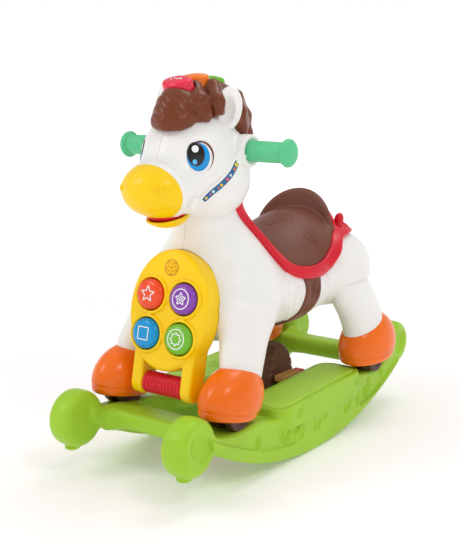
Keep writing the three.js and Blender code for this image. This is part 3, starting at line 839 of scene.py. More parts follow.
def bumper_field(p, centre, radius, half, tilt):
    """A round bumper, and the leaning oval dish in its outer face."""
    x, y, z = p
    away = np.hypot(y - centre[1], z - centre[2])
    bulge = 3 * np.clip(1 - ((x - centre[0]) / half) ** 2, 0, 1)
    disc = box_distance(away - radius + 3 - bulge, np.abs(x - centre[0]) - half, 10)
    hub = (centre[0] + half + 3, centre[1], centre[2])
    return disc, ellipsoid(p, hub, (9, radius * 0.45, radius * 0.62), (tilt, 0, 0))


def side_field(p):
    """One side of the rocker base: rail, bumpers and the footrest's plinth."""
    q = sided(p)
    x, y, z = q
    low = running_edge(y)
    top = along_curve(y, RAIL_TOP)
    band = np.clip((z - low - along_curve(y, BAND_TOP)) / 1.4 + 0.5, 0, 1)
    hill = np.clip((along_curve(y, HILL_TOP) - z) / 1.5 + 0.5, 0, 1) * np.clip((y + 78) / 8, 0, 1)
    hill = hill * np.clip((118 - y) / 8, 0, 1)
    out = RAIL_OUT + 1.5 - 4.6 * band * (1 - 0.75 * hill)
    centre, half = (RAIL_IN + out) / 2, (out - RAIL_IN) / 2
    rail = box_distance(np.abs(x - centre) - half, np.maximum(low - z, z - top), 7)
    rail = both(rail, np.abs(y + 17) - 262, 6)
    plinth_top = deck_top(y)
    plan = deck_plan(x, y)
    groove = 0.9 * np.exp(-(((plan + 6.5) / 1.2) ** 2)) * (z > plinth_top - 6)
    plinth = box_distance(plan, np.maximum(z - plinth_top, 50 - z), 3.5) + groove
    whole = join(rail, plinth, 3)
    for crossbar in ((-224, 72, 24, 12.5, 9), (212, 84, 20, 14.5, 11)):
        whole = join(whole, crossbar_field(q, *crossbar), 16)
    for bumper in ((BUMPER_FRONT, 39.5, 19.5, 35), (BUMPER_REAR, 35.5, 19.5, -35)):
        disc, dish = bumper_field(q, *bumper)
        whole = cut(join(whole, disc, 5), dish, 1.8)
    for trough in (((93, -197, 96), (25, 37, 19.6)), ((107, 158, 104), (25, 46, 27.3))):
        whole = cut(whole, ellipsoid(q, *trough), 2)
    return join(whole, ellipsoid(q, (BUMPER_FRONT[0], -298, 41), (10, 12, 5)), 3)


def crossbar_field(q, y, z, half_y, half_z, corner):
    """A beam to the rails that widens towards them."""
    spread = np.clip((q[0] - 30) / 50, 0, 1) ** 2
    u = np.abs(q[1] - y) - half_y - 8 * spread
    v = np.abs(q[2] - z) - half_z - 4 * spread
    return both(box_distance(u, v, corner), q[0] - 80, 4)


LEAVES = [  # each leaf's y, z, half height, half width, and lean in degrees
    (-164, 52, 9.5, 4.2, 6), (-104, 44, 13, 4.5, -28), (-88, 40, 8, 3, 22), (-58, 40, 12, 6, 4),
    (-20, 35, 7, 3.2, -14), (-8, 37, 8, 2.8, 20), (8, 42, 6, 2.4, 34), (68, 37, 7, 4.2, -8),
    (80, 41, 7, 2.8, 26), (105, 45, 12, 5, 4), (132, 48, 9, 4, -8), (144, 56, 12, 4.5, 14),
    (186, 68, 10, 4, -16),
    (-69, 68, 7, 5, 28), (-60, 73, 5, 2.6, 50), (96, 74, 6, 3.6, -34), (104, 78, 6, 2.6, 30),
]


def leaf_outline(y, z, tall, wide, lean):
    """A pointed leaf beside the flank, standing on its lower tip."""
    made = []
    c, s = math.cos(math.radians(lean)), math.sin(math.radians(lean))
    for i in range(20):
        t = 2 * math.pi * i / 20
        u, v = wide * math.sin(t) * (0.6 + 0.4 * abs(math.sin(t))), -tall * math.cos(t)
        made.append(np.array((170, y + u * c + v * s, z - u * s + v * c)))
    return made


def make_base():
    mesh = skin(side_field, (-6, -345, -4), (132, 306, 150), 2.2)
    tree = surface_tree(mesh)
    relief = []
    for leaf in LEAVES:
        outline = leaf_outline(*leaf)
        relief.append(bead(tree, outline, (-1, 0, 0), 2.2, 1.4, closed=True))
        if leaf[3] > 3.5:  # the wide leaves have a vein
            vein = [outline[0] * (1 - t) + outline[10] * t for t in np.linspace(0.1, 0.75, 8)]
            relief.append(bead(tree, vein, (-1, 0, 0), 1.5, 0.9))
    left = merged(clip(mesh, lambda p: p[0] - 0.02), *relief)
    for side, form, bar in (("left", left, "front_crossbar"), ("right", mirrored(left), "rear_crossbar")):
        nodes = [f"{node}_{side}" for node in ("rocker_rail", "bumper_front", "bumper_rear")]
        piece("rocker_side_" + side, form, "lime_plastic", "rocker_base", nodes + [bar])

    def pad_field(p):
        x, y, z = p
        top = deck_top(y) + 0.7
        return box_distance(deck_plan(x, y, 8.2), np.maximum(z - top, top - 4 - z), 1.2)

    pad = skin(pad_field, (50, -112, 74), (124, 120, 98), 1.6)
    tree = surface_tree(pad)
    centre, down = np.array((86, 12, 120)), (0, 0, -1)
    marks = [bead(tree, oval(centre, (0, 1, 0), (-1, 0, 0), 17, 8.5), down, 1.6, 0.9, closed=True)]
    for turn in (0, 60, 120):
        c, s = math.cos(math.radians(turn)), math.sin(math.radians(turn))
        line = [centre + np.array((s * t * 4.5, c * t * 9, 0)) for t in np.linspace(-1, 1, 9)]
        marks.append(bead(tree, line, down, 1.4, 0.7))
    pair("footrest_pad_{}", merged(pad, *marks), "footrest_grip", ["footrest_{}"], "rocker_base")


# ---------------------------------------------------------------- dock and latch
POST = [(10, 50), (86, 50), (80, 80), (74, 104), (62, 122), (48, 130), (32, 127), (20, 112), (14, 80)]


def make_dock():
    def dock_field(p):
        x, y, z = p
        groove = 1.2 * np.exp(-((((z - 66) % 15 - 7.5) / 1.6) ** 2)) * (np.abs(x) > 14)
        post = box_distance(outline_distance(y, z, POST), np.abs(x) - 20, 6) + groove
        beam = box_distance(np.maximum(np.abs(x) - 73.6, np.abs(y - 36) - 52), np.abs(z - 52) - 8, 3)
        rest = box_distance(np.maximum(np.abs(x - 32.5) - 7.5, np.abs(y - 27) - 4), np.abs(z - 62) - 12, 2)
        return join(join(post, beam, 5), rest, 2)

    mesh = skin(dock_field, (-76, -20, 40), (76, 92, 134), 1.8)
    piece("dock_bridge_skin", mesh, "dock_brown", "rocker_base", ["dock_bridge"])
    blocks = (("latch_lever", "latch_tan", 3.5), ("latch_button", "latch_crimson", 3.0))
    for node, slot_name, corner in blocks:
        low, high = (np.array(v) / MM - (0, SHIFT, 0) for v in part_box(node))
        centre, half = (low + high) / 2, (high - low) / 2

        def block(p):
            """A rounded block in the node's place. The lever has finger ribs on top."""
            x, y, z = (np.abs(p[k] - centre[k]) - half[k] for k in range(3))
            ribs = 0.5 * np.sin((p[1] - centre[1]) * 1.3) * (p[2] > centre[2]) * (y < -4)
            return box_distance(np.maximum(x, y), z, corner) + 0.35 + ribs * (node == "latch_lever")

        piece(node + "_skin", skin(block, low - 2, high + 2, 0.9), slot_name, node, [node])


# ---------------------------------------------------------------- feet
# Each hoof: its dome's middle from the wheel's, its radii, the slope of its sole, and the height of the sole.
FRONT_HOOF = ((0, 3, 118), (36.5, 57, 46), 0.2, 92)
REAR_HOOF = ((0, 0, 120), (40, 60, 52), -0.05, 97)


def hoof_field(p, hoof, foot):
    """A dome on a sloping sole, with a groove above its lip and a well for the wheel."""
    dome, radii, slope, sole = hoof
    q = (p[0] - foot[0], p[1] - foot[1], p[2])
    height = q[2] + slope * q[1] - sole
    leaning = (q[0], q[1] - 0.12 * (q[2] - 110), q[2])
    form = both(ellipsoid(leaning, dome, radii), -height, 4)
    form = form + 1.5 * np.exp(-(((height - 11.5) / 1.3) ** 2))
    well = box_distance(np.abs(q[0]) - 21, np.maximum(np.abs(q[1]) - 26, q[2] - 126), 4)
    return cut(form, well, 1)


def make_wheel():
    """Two rounded discs on a spool, with the axle along X."""
    disc = [(7, 3.4), (7, 23), (19, 23), (19, 17), (17.4, 14), (17.4, 6), (19.3, 5), (19.3, 0)]
    half = merged(spun(rounded_profile(disc, 2.2), 44), spun([(0, 8), (7, 8)], 24))
    return merged(half, mirrored(half))


def make_feet():
    wheel = make_wheel()
    feet = {"front": (FRONT_HOOF, FRONT_FOOT, FRONT_LEG), "rear": (REAR_HOOF, REAR_FOOT, REAR_LEG)}
    for end, (hoof, foot, leg) in feet.items():
        low = (foot[0] - 46, foot[1] - 68, 80)
        high = (foot[0] + 46, foot[1] + 72, 182)
        mesh = skin(lambda p: hoof_field(p, hoof, foot), low, high, 1.6)
        tree = surface_tree(mesh)
        mesh = rim(clip(mesh, lambda p: limb(p, leg) - 0.75), 1.5, 0.45)
        mark = oval((foot[0] + 60, foot[1] - 4, 124), (0, 1, 0), (0, 0.12, 1), 4.2, 12)
        mesh = merged(mesh, bead(tree, mark, (-1, 0, 0), 1.5, 0.6, closed=True))
        node = f"hoof_{end}_{{}}"
        pair(node + "_skin", mesh, "orange_hoof", [node])
        for side in ("left", "right"):
            name = f"wheel_{end}_{side}"
            piece(name + "_skin", moved(wheel, middle(name)), "wheel_brown", name, [name], pony=False)


# ---------------------------------------------------------------- activity panel
BUTTONS = {
    "upper_right": ("button_red", "star"),
    "upper_left": ("button_purple", "ringed_star"),
    "lower_right": ("button_blue", "square"),
    "lower_left": ("button_green", "ringed_leaf"),
}
BUTTON_SPOTS = {
    name: leaning(pony_middle("panel_button_" + name), PANEL_SPOT, PANEL_LEAN) for name in BUTTONS
}
BUTTON_STRETCH = 1.05  # how much wider than tall a button is
ARM_Y, ARM_DROP, ARM_RADIUS = 20.5, 104.0, 16.5
EMBLEM_Z = 58.0  # the flower's height above the panel's middle


def to_panel(mesh):
    """A mesh made in the panel's own axes, put in place on the leaning panel."""
    points, faces = mesh
    c, s = math.cos(PANEL_LEAN), math.sin(PANEL_LEAN)
    x, y, z = points.T
    placed = (x, PANEL_SPOT[1] + y * c + z * s, PANEL_SPOT[2] - y * s + z * c)
    return np.stack(placed, 1), faces


def panel_field(q):
    x, y, z = q
    side = oval_side(q)
    disc = box_distance(side, np.maximum(-y, y - 35), 7)
    face_groove = 0.6 * np.exp(-(((side + 8) / 1.2) ** 2)) * (y < 6)
    disc = disc + face_groove
    for spot in BUTTON_SPOTS.values():
        away = np.hypot((x - spot[0]) / BUTTON_STRETCH, z - spot[2])
        collar = box_distance(np.abs(away - 24.6) - 2.2, np.maximum(-3.6 - y, y - 8), 1.8)
        disc = join(disc, collar, 1.2)
        well = both(away - 22.5, y - 11)
        disc = cut(disc, well, 0.6)
    ring = np.hypot(x, z + 8.5)
    disc = disc - 0.7 * np.exp(-(((ring - 7.5) / 1.1) ** 2)) * (y < 3)
    arm_end = np.hypot(y - ARM_Y, z + ARM_DROP) - ARM_RADIUS
    shank = np.maximum(np.abs(y - ARM_Y) - ARM_RADIUS, np.maximum(-ARM_DROP - z, z + 40))
    arm = box_distance(np.minimum(arm_end, shank), np.abs(np.abs(x) - 42.7) - 9.3, 4.5)
    return join(disc, arm, 4)


def star(outer, inner, points, start=90):
    """A star's outline. Its first point is at start degrees, which is straight up unless told otherwise."""
    turns = [math.radians(start + 180 * i / points) for i in range(2 * points)]
    return [(r * math.cos(a), r * math.sin(a)) for a, r in zip(turns, (outer, inner) * points)]


def symbol_lines(kind):
    """Closed outlines of a button's symbol, in millimetres on its face."""
    if kind == "star":
        return [star(11.5, 5.2, 5)]
    if kind == "square":
        return [[(-8.5, -8.5), (8.5, -8.5), (8.5, 8.5), (-8.5, 8.5)]]
    ring = [(13.4 * math.cos(a), 13.4 * math.sin(a)) for a in np.linspace(0, 2 * math.pi, 48, endpoint=False)]
    if kind == "ringed_star":
        return [ring, star(8.8, 4.6, 5), star(3.4, 1.8, 5)]
    return [ring, star(9.3, 6.4, 8)]


def ribbon(line, height, width=1.7, lift=0.35):
    """A flat raised line along a closed outline on the plane y = height(x, z)."""
    pts = []
    n = len(line)
    for i in range(n):
        a, b = np.array(line[i]), np.array(line[(i + 1) % n])
        steps = max(1, int(np.linalg.norm(b - a) / 1.2))
        pts += [a + (b - a) * s / steps for s in range(steps)]
    pts = np.array(pts)
    tangent = np.roll(pts, -1, 0) - np.roll(pts, 1, 0)
    side = np.stack([-tangent[:, 1], tangent[:, 0]], 1)
    side /= np.linalg.norm(side, axis=1, keepdims=True) + 1e-9
    rows = []
    for offset, drop_ in ((-0.5, -0.3), (-0.42, lift), (0.42, lift), (0.5, -0.3)):
        at = pts + side * width * offset
        rows.append(np.stack([at[:, 0], height(at[:, 0], at[:, 1]) - drop_, at[:, 1]], 1))
    points = np.stack(rows, 1).reshape(-1, 3)
    return points, strip_faces(len(pts), 4, closed=True)


def dome(r):
    """Height of a button's face at distance r from its middle: flat in the middle, round at the edge."""
    edge = np.clip((r - 12) / 9, 0, 1)
    return -9.6 + 7.0 * (1 - np.sqrt(np.maximum(1 - edge**2, 0)))


def make_panel():
    mesh = skin(panel_field, (-72, -6, -124), (72, 40, 89), 1.25)
    tree = surface_tree(mesh)
    emblem = []

    def raised(line, width, height, closed=False):
        """A raised line through (x, z) points on the panel's face."""
        emblem.append(bead(tree, [(x, -30, z) for x, z in line], (0, 1, 0), width, height, closed))

    turns = [2 * math.pi * i / 60 for i in range(60)]
    petals = [7.2 + 2.0 * math.cos(5 * a) for a in turns]
    raised([(r * math.sin(a), EMBLEM_Z + r * math.cos(a)) for a, r in zip(turns, petals)], 2.2, 1.2, True)
    top = (0, -30, EMBLEM_Z)
    core = oval(top, (1, 0, 0), (0, 0, 1), 3.2, 3.2, 20)
    emblem.append(bead(tree, core, (0, 1, 0), 2.0, 1.1, closed=True))
    recess = patch(tree, oval(top, (1, 0, 0), (0, 0, 1), 12, 11.5, 40), (0, 1, 0), 0.2)
    piece("panel_emblem_field", to_panel(recess), "amber_plastic", "horse")
    for side in (-1, 1):
        raised([(side * 20 + x, EMBLEM_Z - 6 + z) for x, z in star(4.6, 2.1, 4, 0)], 1.0, 0.45, True)
    turns = np.linspace(0, 7, 26)
    raised([((1 + 0.6 * a) * math.cos(a), -8.5 + (1 + 0.6 * a) * math.sin(a)) for a in turns], 1.1, 0.6)
    for row in range(3):
        reach = 24 - 4 * row
        wave = [(x, -60 - 4.2 * row + 1.3 * math.sin(x / 3.1 + row)) for x in np.linspace(-reach, reach, 40)]
        raised(wave, 0.9, 0.35)
    piece("panel_housing_skin", to_panel(merged(mesh, *emblem)), "yellow_plastic", "horse", ["panel_housing"])
    for name, (slot_name, symbol) in BUTTONS.items():
        rings = [0.01, 3, 6, 9, 12, 14, 16, 17.5, 18.7, 19.6, 20.3, 20.8, 21]
        face = [(float(dome(r)), r) for r in rings] + [(5.0, 21.0)]
        cap = spun([(-a, r) for a, r in reversed(face)], 56)
        cap = (cap[0][:, [2, 0, 1]] * (BUTTON_STRETCH, -1, 1), cap[1])
        spot = np.array([float(v) for v in BUTTON_SPOTS[name]])
        spot[1] = 0.0
        body_name = "panel_button_" + name
        piece(body_name + "_skin", to_panel((cap[0] + spot, cap[1])), slot_name, body_name, [body_name])
        lines = [ribbon(line, lambda x, z: dome(np.hypot(x, z))) for line in symbol_lines(symbol)]
        mark = merged(*lines)
        piece(body_name + "_mark", to_panel((mark[0] + spot, mark[1])), "print_white", body_name)
    make_roller()


def make_roller():
    spot = middle("spin_roller")
    half, ribs = (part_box("spin_roller")[1][0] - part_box("spin_roller")[0][0]) / 2 / MM, 11
    pitch = 2 * half / ribs
    profile = [(-half, 4.0)]
    for i in range(ribs * 8 + 1):
        at = -half + 2 * half * i / (ribs * 8)
        wave = abs(math.sin(math.pi * (at + half) / pitch)) ** 0.6
        profile.append((at, 12.9 + 2.6 * wave))
    profile.append((half, 4.0))
    roller = moved(spun(profile, 56), spot)
    piece("spin_roller_skin", roller, "crimson_plastic", "spin_roller", ["spin_roller"], pony=False)


# ---------------------------------------------------------------- head fittings
HANDLE_Y, HANDLE_Z = float(HEAD_HANDLE[1]), float(HEAD_HANDLE[2])
STRAP_AIM = (-1, 0.12, 0)
STRAP = [
    (77, -140.5, 440), (76, -149, 430.5), (71, -160.7, 415), (64.6, -175, 401), (56.4, -185.2, 391.6),
    (48, -192, 381.7), (43.5, -203, 375.5),
]
STUD = (45, -206.8, 379.7)


def handle_profile():
    """The grip: a round shaft that flares into a flattened knob."""
    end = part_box("handle_left")[1][0] / MM
    shaft = rounded_profile([(76, 8), (76, 14.3), (end - 14.6, 13.9), (end - 12.6, 17.9)], 1.6, 5)
    turns = [math.radians(t) for t in range(99, 0, -9)]
    knob = [(end - 9.8 + 9.8 * math.cos(t), 18.8 * math.sin(t)) for t in turns]
    return shaft + knob + [(end, 0.01)]


def make_eyes():
    tree = SURFACES["head"]
    aim = np.array((-0.56, 0.82, -0.1))
    start = np.array((49.6, -199.4, 437)) - 60 * aim
    spot, up, across, over = surface_frame(tree, start, aim)
    layers = [
        ("eye_lid", "lid_brown", (1.5, 1.3), 17.6, 20.8, 0.35, -6),
        ("eye_white", "eye_white", (-0.1, -0.5), 17.0, 20.0, 0.5, -4),
        ("eye_iris", "iris_blue", (-1.9, 1.0), 15.2, 18.5, 0.65, -2),
        ("eye_pupil", "pupil_black", (-5.1, 4.7), 11.6, 15.4, 0.8, 4),
        ("eye_glint", "eye_white", (-5.8, 11.2), 4.5, 4.6, 0.95, 0),
        ("eye_spark", "spark_blue", (-6.9, -5.4), 3.0, 3.3, 0.95, 0),
    ]
    for name, slot_name, (sideways, upwards), a, b, lift, turn in layers:
        centre = spot + up * 25 + across * sideways + over * upwards
        outline = oval(centre, across, over, a, b, 48, turn)
        pair(name + "_{}", patch(tree, outline, tuple(-up), lift, 7), slot_name)


def make_bridle():
    tree = SURFACES["head"]
    line = [np.array(spot) - 40 * np.array(STRAP_AIM) for spot in STRAP]
    fine = []
    for a, b in zip(line, line[1:]):
        fine += [a + (b - a) * t for t in np.linspace(0, 1, 6, endpoint=False)]
    fine.append(line[-1])
    flat = strap_section(tree, fine, 15.5, 2.7)
    stud = spun(rounded_profile([(-3, 9.4), (4.6, 9.4), (6.2, 6), (6.6, 0.01)], 2.2), 32)
    spot, up = drop(tree, np.array(STUD) - 40 * np.array(STRAP_AIM), STRAP_AIM)
    stud = on_surface(stud, spot, up)
    pair("bridle_{}_skin", merged(flat, stud, boss_ring()), "white_shell", ["bridle_{}"])
    pair("bridle_band_{}", strap_section(tree, fine[6:-6], 8.6, 3.0, edge=0.5), "band_blue")
    colours = ["mark_yellow", "mark_orange", "mark_white", "mark_red"]
    spots = np.linspace(8, len(fine) - 9, 9)
    for k, at in enumerate(spots):
        i = int(at)
        place, up = drop(tree, fine[i], STRAP_AIM)
        size = (2.9, 2.4, 1.8)[k % 3] if k < 4 else (2.0, 1.6)[k % 2]
        disc = spun([(2.6, size), (3.25, size), (3.3, size * 0.8), (3.3, 0.01)], 4 if k % 2 else 16)
        pair(f"bridle_mark_{{}}_{k + 1}", on_surface(disc, place, up), colours[k % 4])


def on_surface(mesh, spot, up):
    """A shape spun round X, stood on the surface at spot."""
    turn = np.array(Vector((1, 0, 0)).rotation_difference(Vector(up)).to_matrix())
    return mesh[0] @ turn.T + spot, mesh[1]


def strap_section(tree, points, width, height, edge=2.2):
    """A strap of even thickness with rounded edges, laid along points."""
    spots, ups = landing(tree, points, STRAP_AIM)
    for _ in range(6):
        ups[1:-1] = (ups[:-2] + 2 * ups[1:-1] + ups[2:]) / 4
        spots[1:-1] = (spots[:-2] + 2 * spots[1:-1] + spots[2:]) / 4
    ups /= np.linalg.norm(ups, axis=1, keepdims=True)
    along = np.gradient(spots, axis=0)
    side = np.cross(along, ups)
    side /= np.linalg.norm(side, axis=1, keepdims=True)
    half = width / 2
    near, bevel = half - edge, edge * 0.3
    right = [(near, height), (half - bevel, height - bevel), (half, height - edge), (half, -3)]
    section = [(-u, v) for u, v in reversed(right)] + right
    rows = np.array([[s + sd * u + n * v for u, v in section] for s, sd, n in zip(spots, side, ups)])
    count, span = rows.shape[:2]
    faces = strip_faces(count, span)
    faces.append(list(range(span))[::-1])
    faces.append([(count - 1) * span + k for k in range(span)])
    mesh = (rows.reshape(-1, 3), faces)
    if np.dot(normals(mesh)[span * (count // 2) + 3], ups[count // 2]) < 0:
        mesh = (mesh[0], [face[::-1] for face in faces])
    return mesh


def boss_ring():
    """The raised ring round the foot of a grip."""
    corners = [(66, 22.2), (78.2, 22.2), (79.6, 20), (79.6, 17), (76.5, 14.8), (70, 14.8)]
    return moved(spun(rounded_profile(corners, 2.4), 56), (0, HANDLE_Y, HANDLE_Z))


def make_handles():
    grip = moved(spun(handle_profile(), 56), (0, HANDLE_Y, HANDLE_Z))
    pair("handle_{}_skin", grip, "handle_green", ["handle_{}"])


def make_ears():
    def ear_field(p):
        form = ellipsoid(p, (53, -141, 498), (18.5, 12, 29.5), (0, 9, 14))
        dish = ellipsoid(p, (58, -152.5, 495), (12, 9, 21.5), (0, 9, 14))
        return cut(form, dish, 3)

    mesh = skin(ear_field, (26, -168, 460), (86, -118, 534), 1.4)
    mesh = clip(mesh, lambda p: head_field(p) + 3)
    pair("ear_{}_skin", mesh, "white_shell", ["ear_{}"])


def make_nostrils(tree):
    made = []
    for side in (-1, 1):
        start = (side * 40.4, -300, 404.4)
        aim = (-side * 0.25, 1, -0.12)
        spot, up, across, over = surface_frame(tree, start, aim)
        swirl = []
        for k in range(30):
            angle, r = math.radians(60 + 13.5 * k), 5.6 - 0.09 * k
            sideways, upwards = side * r * math.cos(angle), r * math.sin(angle)
            swirl.append(spot + up * 10 + across * sideways + over * upwards)
        made.append(bead(tree, swirl, tuple(-up), 3.4, 1.9))
    return made


# ---------------------------------------------------------------- mane
# The hair's lower edge round the head, as (degrees from the front, height).
HAIR_SIDE = [(48, 480), (62, 489), (75, 487), (90, 480), (110, 464), (125, 452), (150, 440), (180, 436)]
HAIR_FRONT = [
    (-40, 479), (-31, 480), (-24, 474), (-10, 471), (6, 469.5), (18, 471), (27, 476), (31, 481), (40, 479),
]
HAIR_LINE = [(-turn, height) for turn, height in reversed(HAIR_SIDE)] + HAIR_FRONT + HAIR_SIDE
LOCKS = [
    (
        [(-22, -197, 488), (-11, -207, 482), (6, -212, 480), (22, -206, 482), (31, -196, 488)],
        [7, 9.5, 10, 9.5, 6],
    ),
    ([(16, -166, 525), (32, -178, 508), (40, -177, 492), (42, -171, 482)], [10, 12, 9, 5]),
    ([(26, -140, 526), (41, -152, 508), (47, -156, 491)], [11, 11, 7]),
    ([(-18, -166, 522), (-28, -172, 504), (-36, -168, 486)], [9, 9, 7]),
    ([(-28, -142, 522), (-42, -148, 502), (-46, -146, 488)], [9, 8, 7]),
    ([(44, -122, 514), (50, -113, 492), (50, -108, 472), (50, -104, 458)], [9, 9, 7, 4]),
    ([(-44, -122, 514), (-50, -113, 492), (-50, -108, 472), (-50, -104, 458)], [9, 9, 7, 4]),
    ([(24, -84, 512), (31, -76, 486), (31, -71, 460), (24, -71, 438)], [10, 10, 9, 6]),
    ([(-24, -84, 512), (-31, -76, 486), (-31, -71, 460), (-24, -71, 438)], [10, 10, 9, 6]),
    ([(0, -70, 508), (0, -62, 484), (2, -62, 458), (0, -66, 434)], [11, 12, 11, 7]),
]


def strand(phase, depth):
    """Rounded strands with narrow grooves between them."""
    return depth * (1 - np.abs(np.sin(phase))) ** 2


def hair_field(p):
    x, y, z = p
    turn = np.degrees(np.arctan2(x, -(y + 130)))
    fall = np.clip((524 - z) / 26, 0, 1)
    cap = ellipsoid(p, (0, -122, 477), (57, 63, 59))
    cap = cap + strand(turn / 11.5 + 0.5 * np.sin((z - 470) / 13) + z / 60, 2.4 * fall)
    fore = ellipsoid(p, (4, -184, 481), (35, 39, 49))
    sweep = z + 0.013 * (x + 14) ** 2 + 0.06 * (y + 190) + 1.2 * np.sin(x / 7)
    fore = fore + strand(sweep / 3.9, 1.5 * np.clip((z - 486) / 5, 0, 1) * np.clip((524 - z) / 8, 0, 1))
    whole = join(cap, fore, 8)
    for number, (points, radii) in enumerate(LOCKS):
        lock = chain(p, points, radii, 8)
        if number:
            lock = lock + strand(turn / 6.5 + z / 21 + number, 1.5 * fall)
        whole = join(whole, lock, 5)
    line = np.interp(turn, [a for a, _ in HAIR_LINE], [h for _, h in HAIR_LINE])
    return both(whole, line - z, 7)
MANE_BUTTONS = {  # each one's material, tilt, and (half width, half length)
    "front": ("mane_red", 0.42, (24, 17)),
    "middle": ("mane_orange", 0.12, (21, 16)),
    "rear": ("button_green", -0.25, (17, 14.5)),
}


def mane_spot(name):
    """Where the mane button's seat is: its box reaches from 7 below to 13 above it."""
    tilt = MANE_BUTTONS[name][1]
    return pony_middle("mane_button_" + name) - 3 * np.array((0, -math.sin(tilt), math.cos(tilt)))


def mane_local(p, name):
    """The mane button's own axes: across, along its length, out of the hair."""
    return leaning(p, mane_spot(name), -MANE_BUTTONS[name][1])


def make_mane():
    def field(p):
        whole = hair_field(p)
        for name, (_, _, (a, b)) in MANE_BUTTONS.items():
            q = mane_local(p, name)
            unit = ((q[0] / (a + 1.2)) ** 2 + (q[1] / (b + 1.2)) ** 2) ** 0.5
            well = both((unit - 1) * b, -11 - q[2])
            whole = cut(whole, well, 1)
        return whole

    mesh = skin(field, (-82, -250, 412), (82, -30, 542), 1.7)
    mesh = clip(mesh, lambda p: head_field(p) + 2.5)
    piece("mane_cap_skin", mesh, "hair_brown", "horse", ["mane_cap"])
    for name, (slot_name, tilt, (a, b)) in MANE_BUTTONS.items():
        def pad(q, a=a, b=b):
            side = oval_distance(q[:2], (a, b))
            crown = 12.8 - 3.0 * ((q[0] / a) ** 2 + (q[1] / b) ** 2)
            return box_distance(side + 0.08 * (q[2] + 7), np.maximum(q[2] - crown, -7 - q[2]), 3.5)

        body_name = "mane_button_" + name
        mesh = skin(pad, (-a - 3, -b - 3, -9), (a + 3, b + 3, 16), 1.0)
        dots = []
        if name == "front":
            tree = surface_tree(mesh)
            for x, y, r in ((-7, -1, 1.5), (-2.5, 1, 1.2), (2.5, -0.5, 1.5), (7.5, 0.5, 2.0)):
                dot = oval((x, y, 30), (1, 0, 0), (0, 1, 0), r, r, 16)
                dots.append(patch(tree, dot, (0, 0, -1), 0.25, 2))
        spot = mane_spot(name)
        turn = (math.degrees(tilt), 0, 0)
        piece(body_name + "_skin", moved(mesh, spot, turn), slot_name, body_name, [body_name])
        if dots:
            piece(body_name + "_dots", moved(merged(*dots), spot, turn), "print_white", body_name)


# ---------------------------------------------------------------- saddle
SADDLE_SPREAD = 1.4  # millimetres round the back for each degree from its top
SADDLE_EDGE = [
    (-150, 15), (-118, 17), (-105, 19.5), (-84, 27.6), (-69, 48.5), (-56, 63), (-45, 73), (-30, 80), (-6, 84),
    (26, 84.5), (50, 82), (62, 79.5), (83.5, 71), (96, 64), (108, 58.5), (126, 56), (146, 54), (157, 50.5),
    (150, 44), (147, 30), (145, 0),
]
SADDLE_OUTLINE = [(float(y), float(spread) * SADDLE_SPREAD) for y, spread in rounded_open(SADDLE_EDGE, 3)]
SADDLE_OUTLINE += [(145, -60), (-150, -60)]  # closed far beyond the middle of the back
BAND = 15.5


def saddle_edge(p):
    """Distance over the back to the blanket's outer edge: along Y, and round the trunk from its top."""
    spread = np.degrees(np.arctan2(np.abs(p[0]), p[2] - 240))
    return outline_distance(p[1], spread * SADDLE_SPREAD, SADDLE_OUTLINE)


def cantle_depth(p):
    """Distance behind the curved middle of the cantle's wall."""
    return p[1] - (121 - 16 * (p[0] / 70) ** 2 + 0.1 * (p[2] - 300))


def arch(p, low, half, height):
    return (((p[0] / half) ** 2 + ((p[2] - low) / height) ** 2) ** 0.5 - 1) * half * 0.9


def seat_field(p):
    edge = saddle_edge(p) + BAND - 0.5
    back = cantle_depth(p)
    pad = both(ellipsoid(p, (0, 100, 262), (84, 112, 72)), back, 3)
    seat = both(join(body_field(p, 5.5), pad, 22), edge, 3)
    wall = both(np.abs(back) - 5.5, arch(p, 292, 71, 72), 6)
    wall = both(wall, 288 - p[2], 3)
    return join(seat, wall, 5)


def blanket_field(p):
    edge = saddle_edge(p)
    band = both(body_field(p, 9.5), edge, 6)
    band = cut(band, edge + BAND, 3)
    shell = both(np.abs(cantle_depth(p) - 10.5) - 4.5, arch(p, 284, 76, 64), 5)
    band = join(band, both(shell, 288 - p[2], 3), 6)
    q = sided(p)
    knob = ellipsoid(q, (61, 141, 317), (7.5, 7, 11), (0, 14, 0))
    knob = join(knob, ellipsoid(q, (64, 146, 305), (10, 9, 7)), 5)
    return join(band, knob, 4)


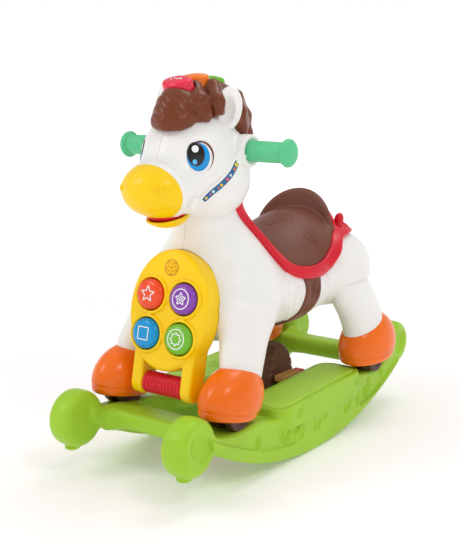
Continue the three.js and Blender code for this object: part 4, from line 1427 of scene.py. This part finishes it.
# Raised lines on the seat, from above: a leaf with a stalk on the near side, a swirl on the far side.
SEAT_MARKS = [
    ([(43, 51), (50, 62), (60, 67), (70, 62), (75, 55), (66, 46), (55, 45), (43, 51)], 2.0),
    ([(50, 53), (64, 54), (81, 57)], 2.0),
    ([(58, 60), (64, 61), (66, 57), (60, 55), (57, 58)], 1.5),
    ([(-22, 38), (-8, 31), (2, 26), (10, 28), (12, 36), (3, 35), (-8, 37)], 1.9),
    ([(-14, 50), (-7, 60), (4, 66), (16, 66), (27, 60), (26, 51), (14, 46), (2, 46), (-6, 51)], 2.0),
    ([(-6, 51), (0, 58), (10, 61), (19, 57), (13, 51), (4, 52), (8, 57)], 1.8),
]


def over_body(mesh):
    """What is left of a mesh outside the body and the head."""
    return clip(clip(mesh, lambda p: body_field(p) + 3), lambda p: head_field(p) + 1)


def make_saddle():
    seat = over_body(skin(seat_field, (-104, -150, 246), (104, 136, 370), 2.2))
    tree = surface_tree(seat)
    marks = []
    for line, width in SEAT_MARKS:
        above = [(x, y, 420) for x, y in rounded_open(line)]
        marks.append(bead(tree, above, (0, 0, -1), width, 0.9))
    piece("saddle_seat_skin", merged(seat, *marks), "saddle_brown", "horse", ["saddle_seat"])
    blanket = over_body(skin(blanket_field, (-116, -150, 238), (116, 166, 400), 2.2))
    piece("saddle_blanket_skin", blanket, "crimson_plastic", "horse", ["saddle_blanket"])
GIRTH = [(-17, 268), (24, 268), (25, 235), (25, 205), (27, 150), (-9, 150), (-13, 205), (-15, 235)]


def make_girth():
    def field(p):
        edge = outline_distance(p[1], p[2], GIRTH) + 0.8 * np.sin(p[2] / 6)
        return both(body_field(p, 4.2), edge, 3)

    mesh = skin(field, (-108, -30, 158), (108, 46, 262), 2.0)
    mesh = clip(mesh, lambda p: body_field(p) + 2)
    tree = surface_tree(mesh)
    marks = []
    for side in (-1, 1):
        for a, b, width in ((10.5, 14, 2.6), (6.8, 9.6, 2.2), (3, 4.6, 2)):
            marks.append(oval_bead(tree, (side * 150, 9.5, 231), (-side, 0, 0), a, b, width))
    piece("girth_strap_skin", merged(mesh, *marks), "saddle_brown", "horse", ["girth_strap"])


# ---------------------------------------------------------------- run
MATERIALS = {name: plastic(name, colour, rough, **more) for name, (colour, rough, more) in PLASTICS.items()}
make_camera()
make_stage()
make_base()
make_dock()
make_feet()
make_body()
make_head()
make_panel()
make_eyes()
make_bridle()
make_handles()
make_ears()
make_mane()
make_saddle()
make_girth()
for node, obj in frame["nodes"].items():
    if not obj.hide_render:
        slot_name = next(s["material_slot"] for s in frame["record"]["subparts"] if s["node"] == node)
        obj.data.materials.clear()
        obj.data.materials.append(MATERIALS[slot_name])
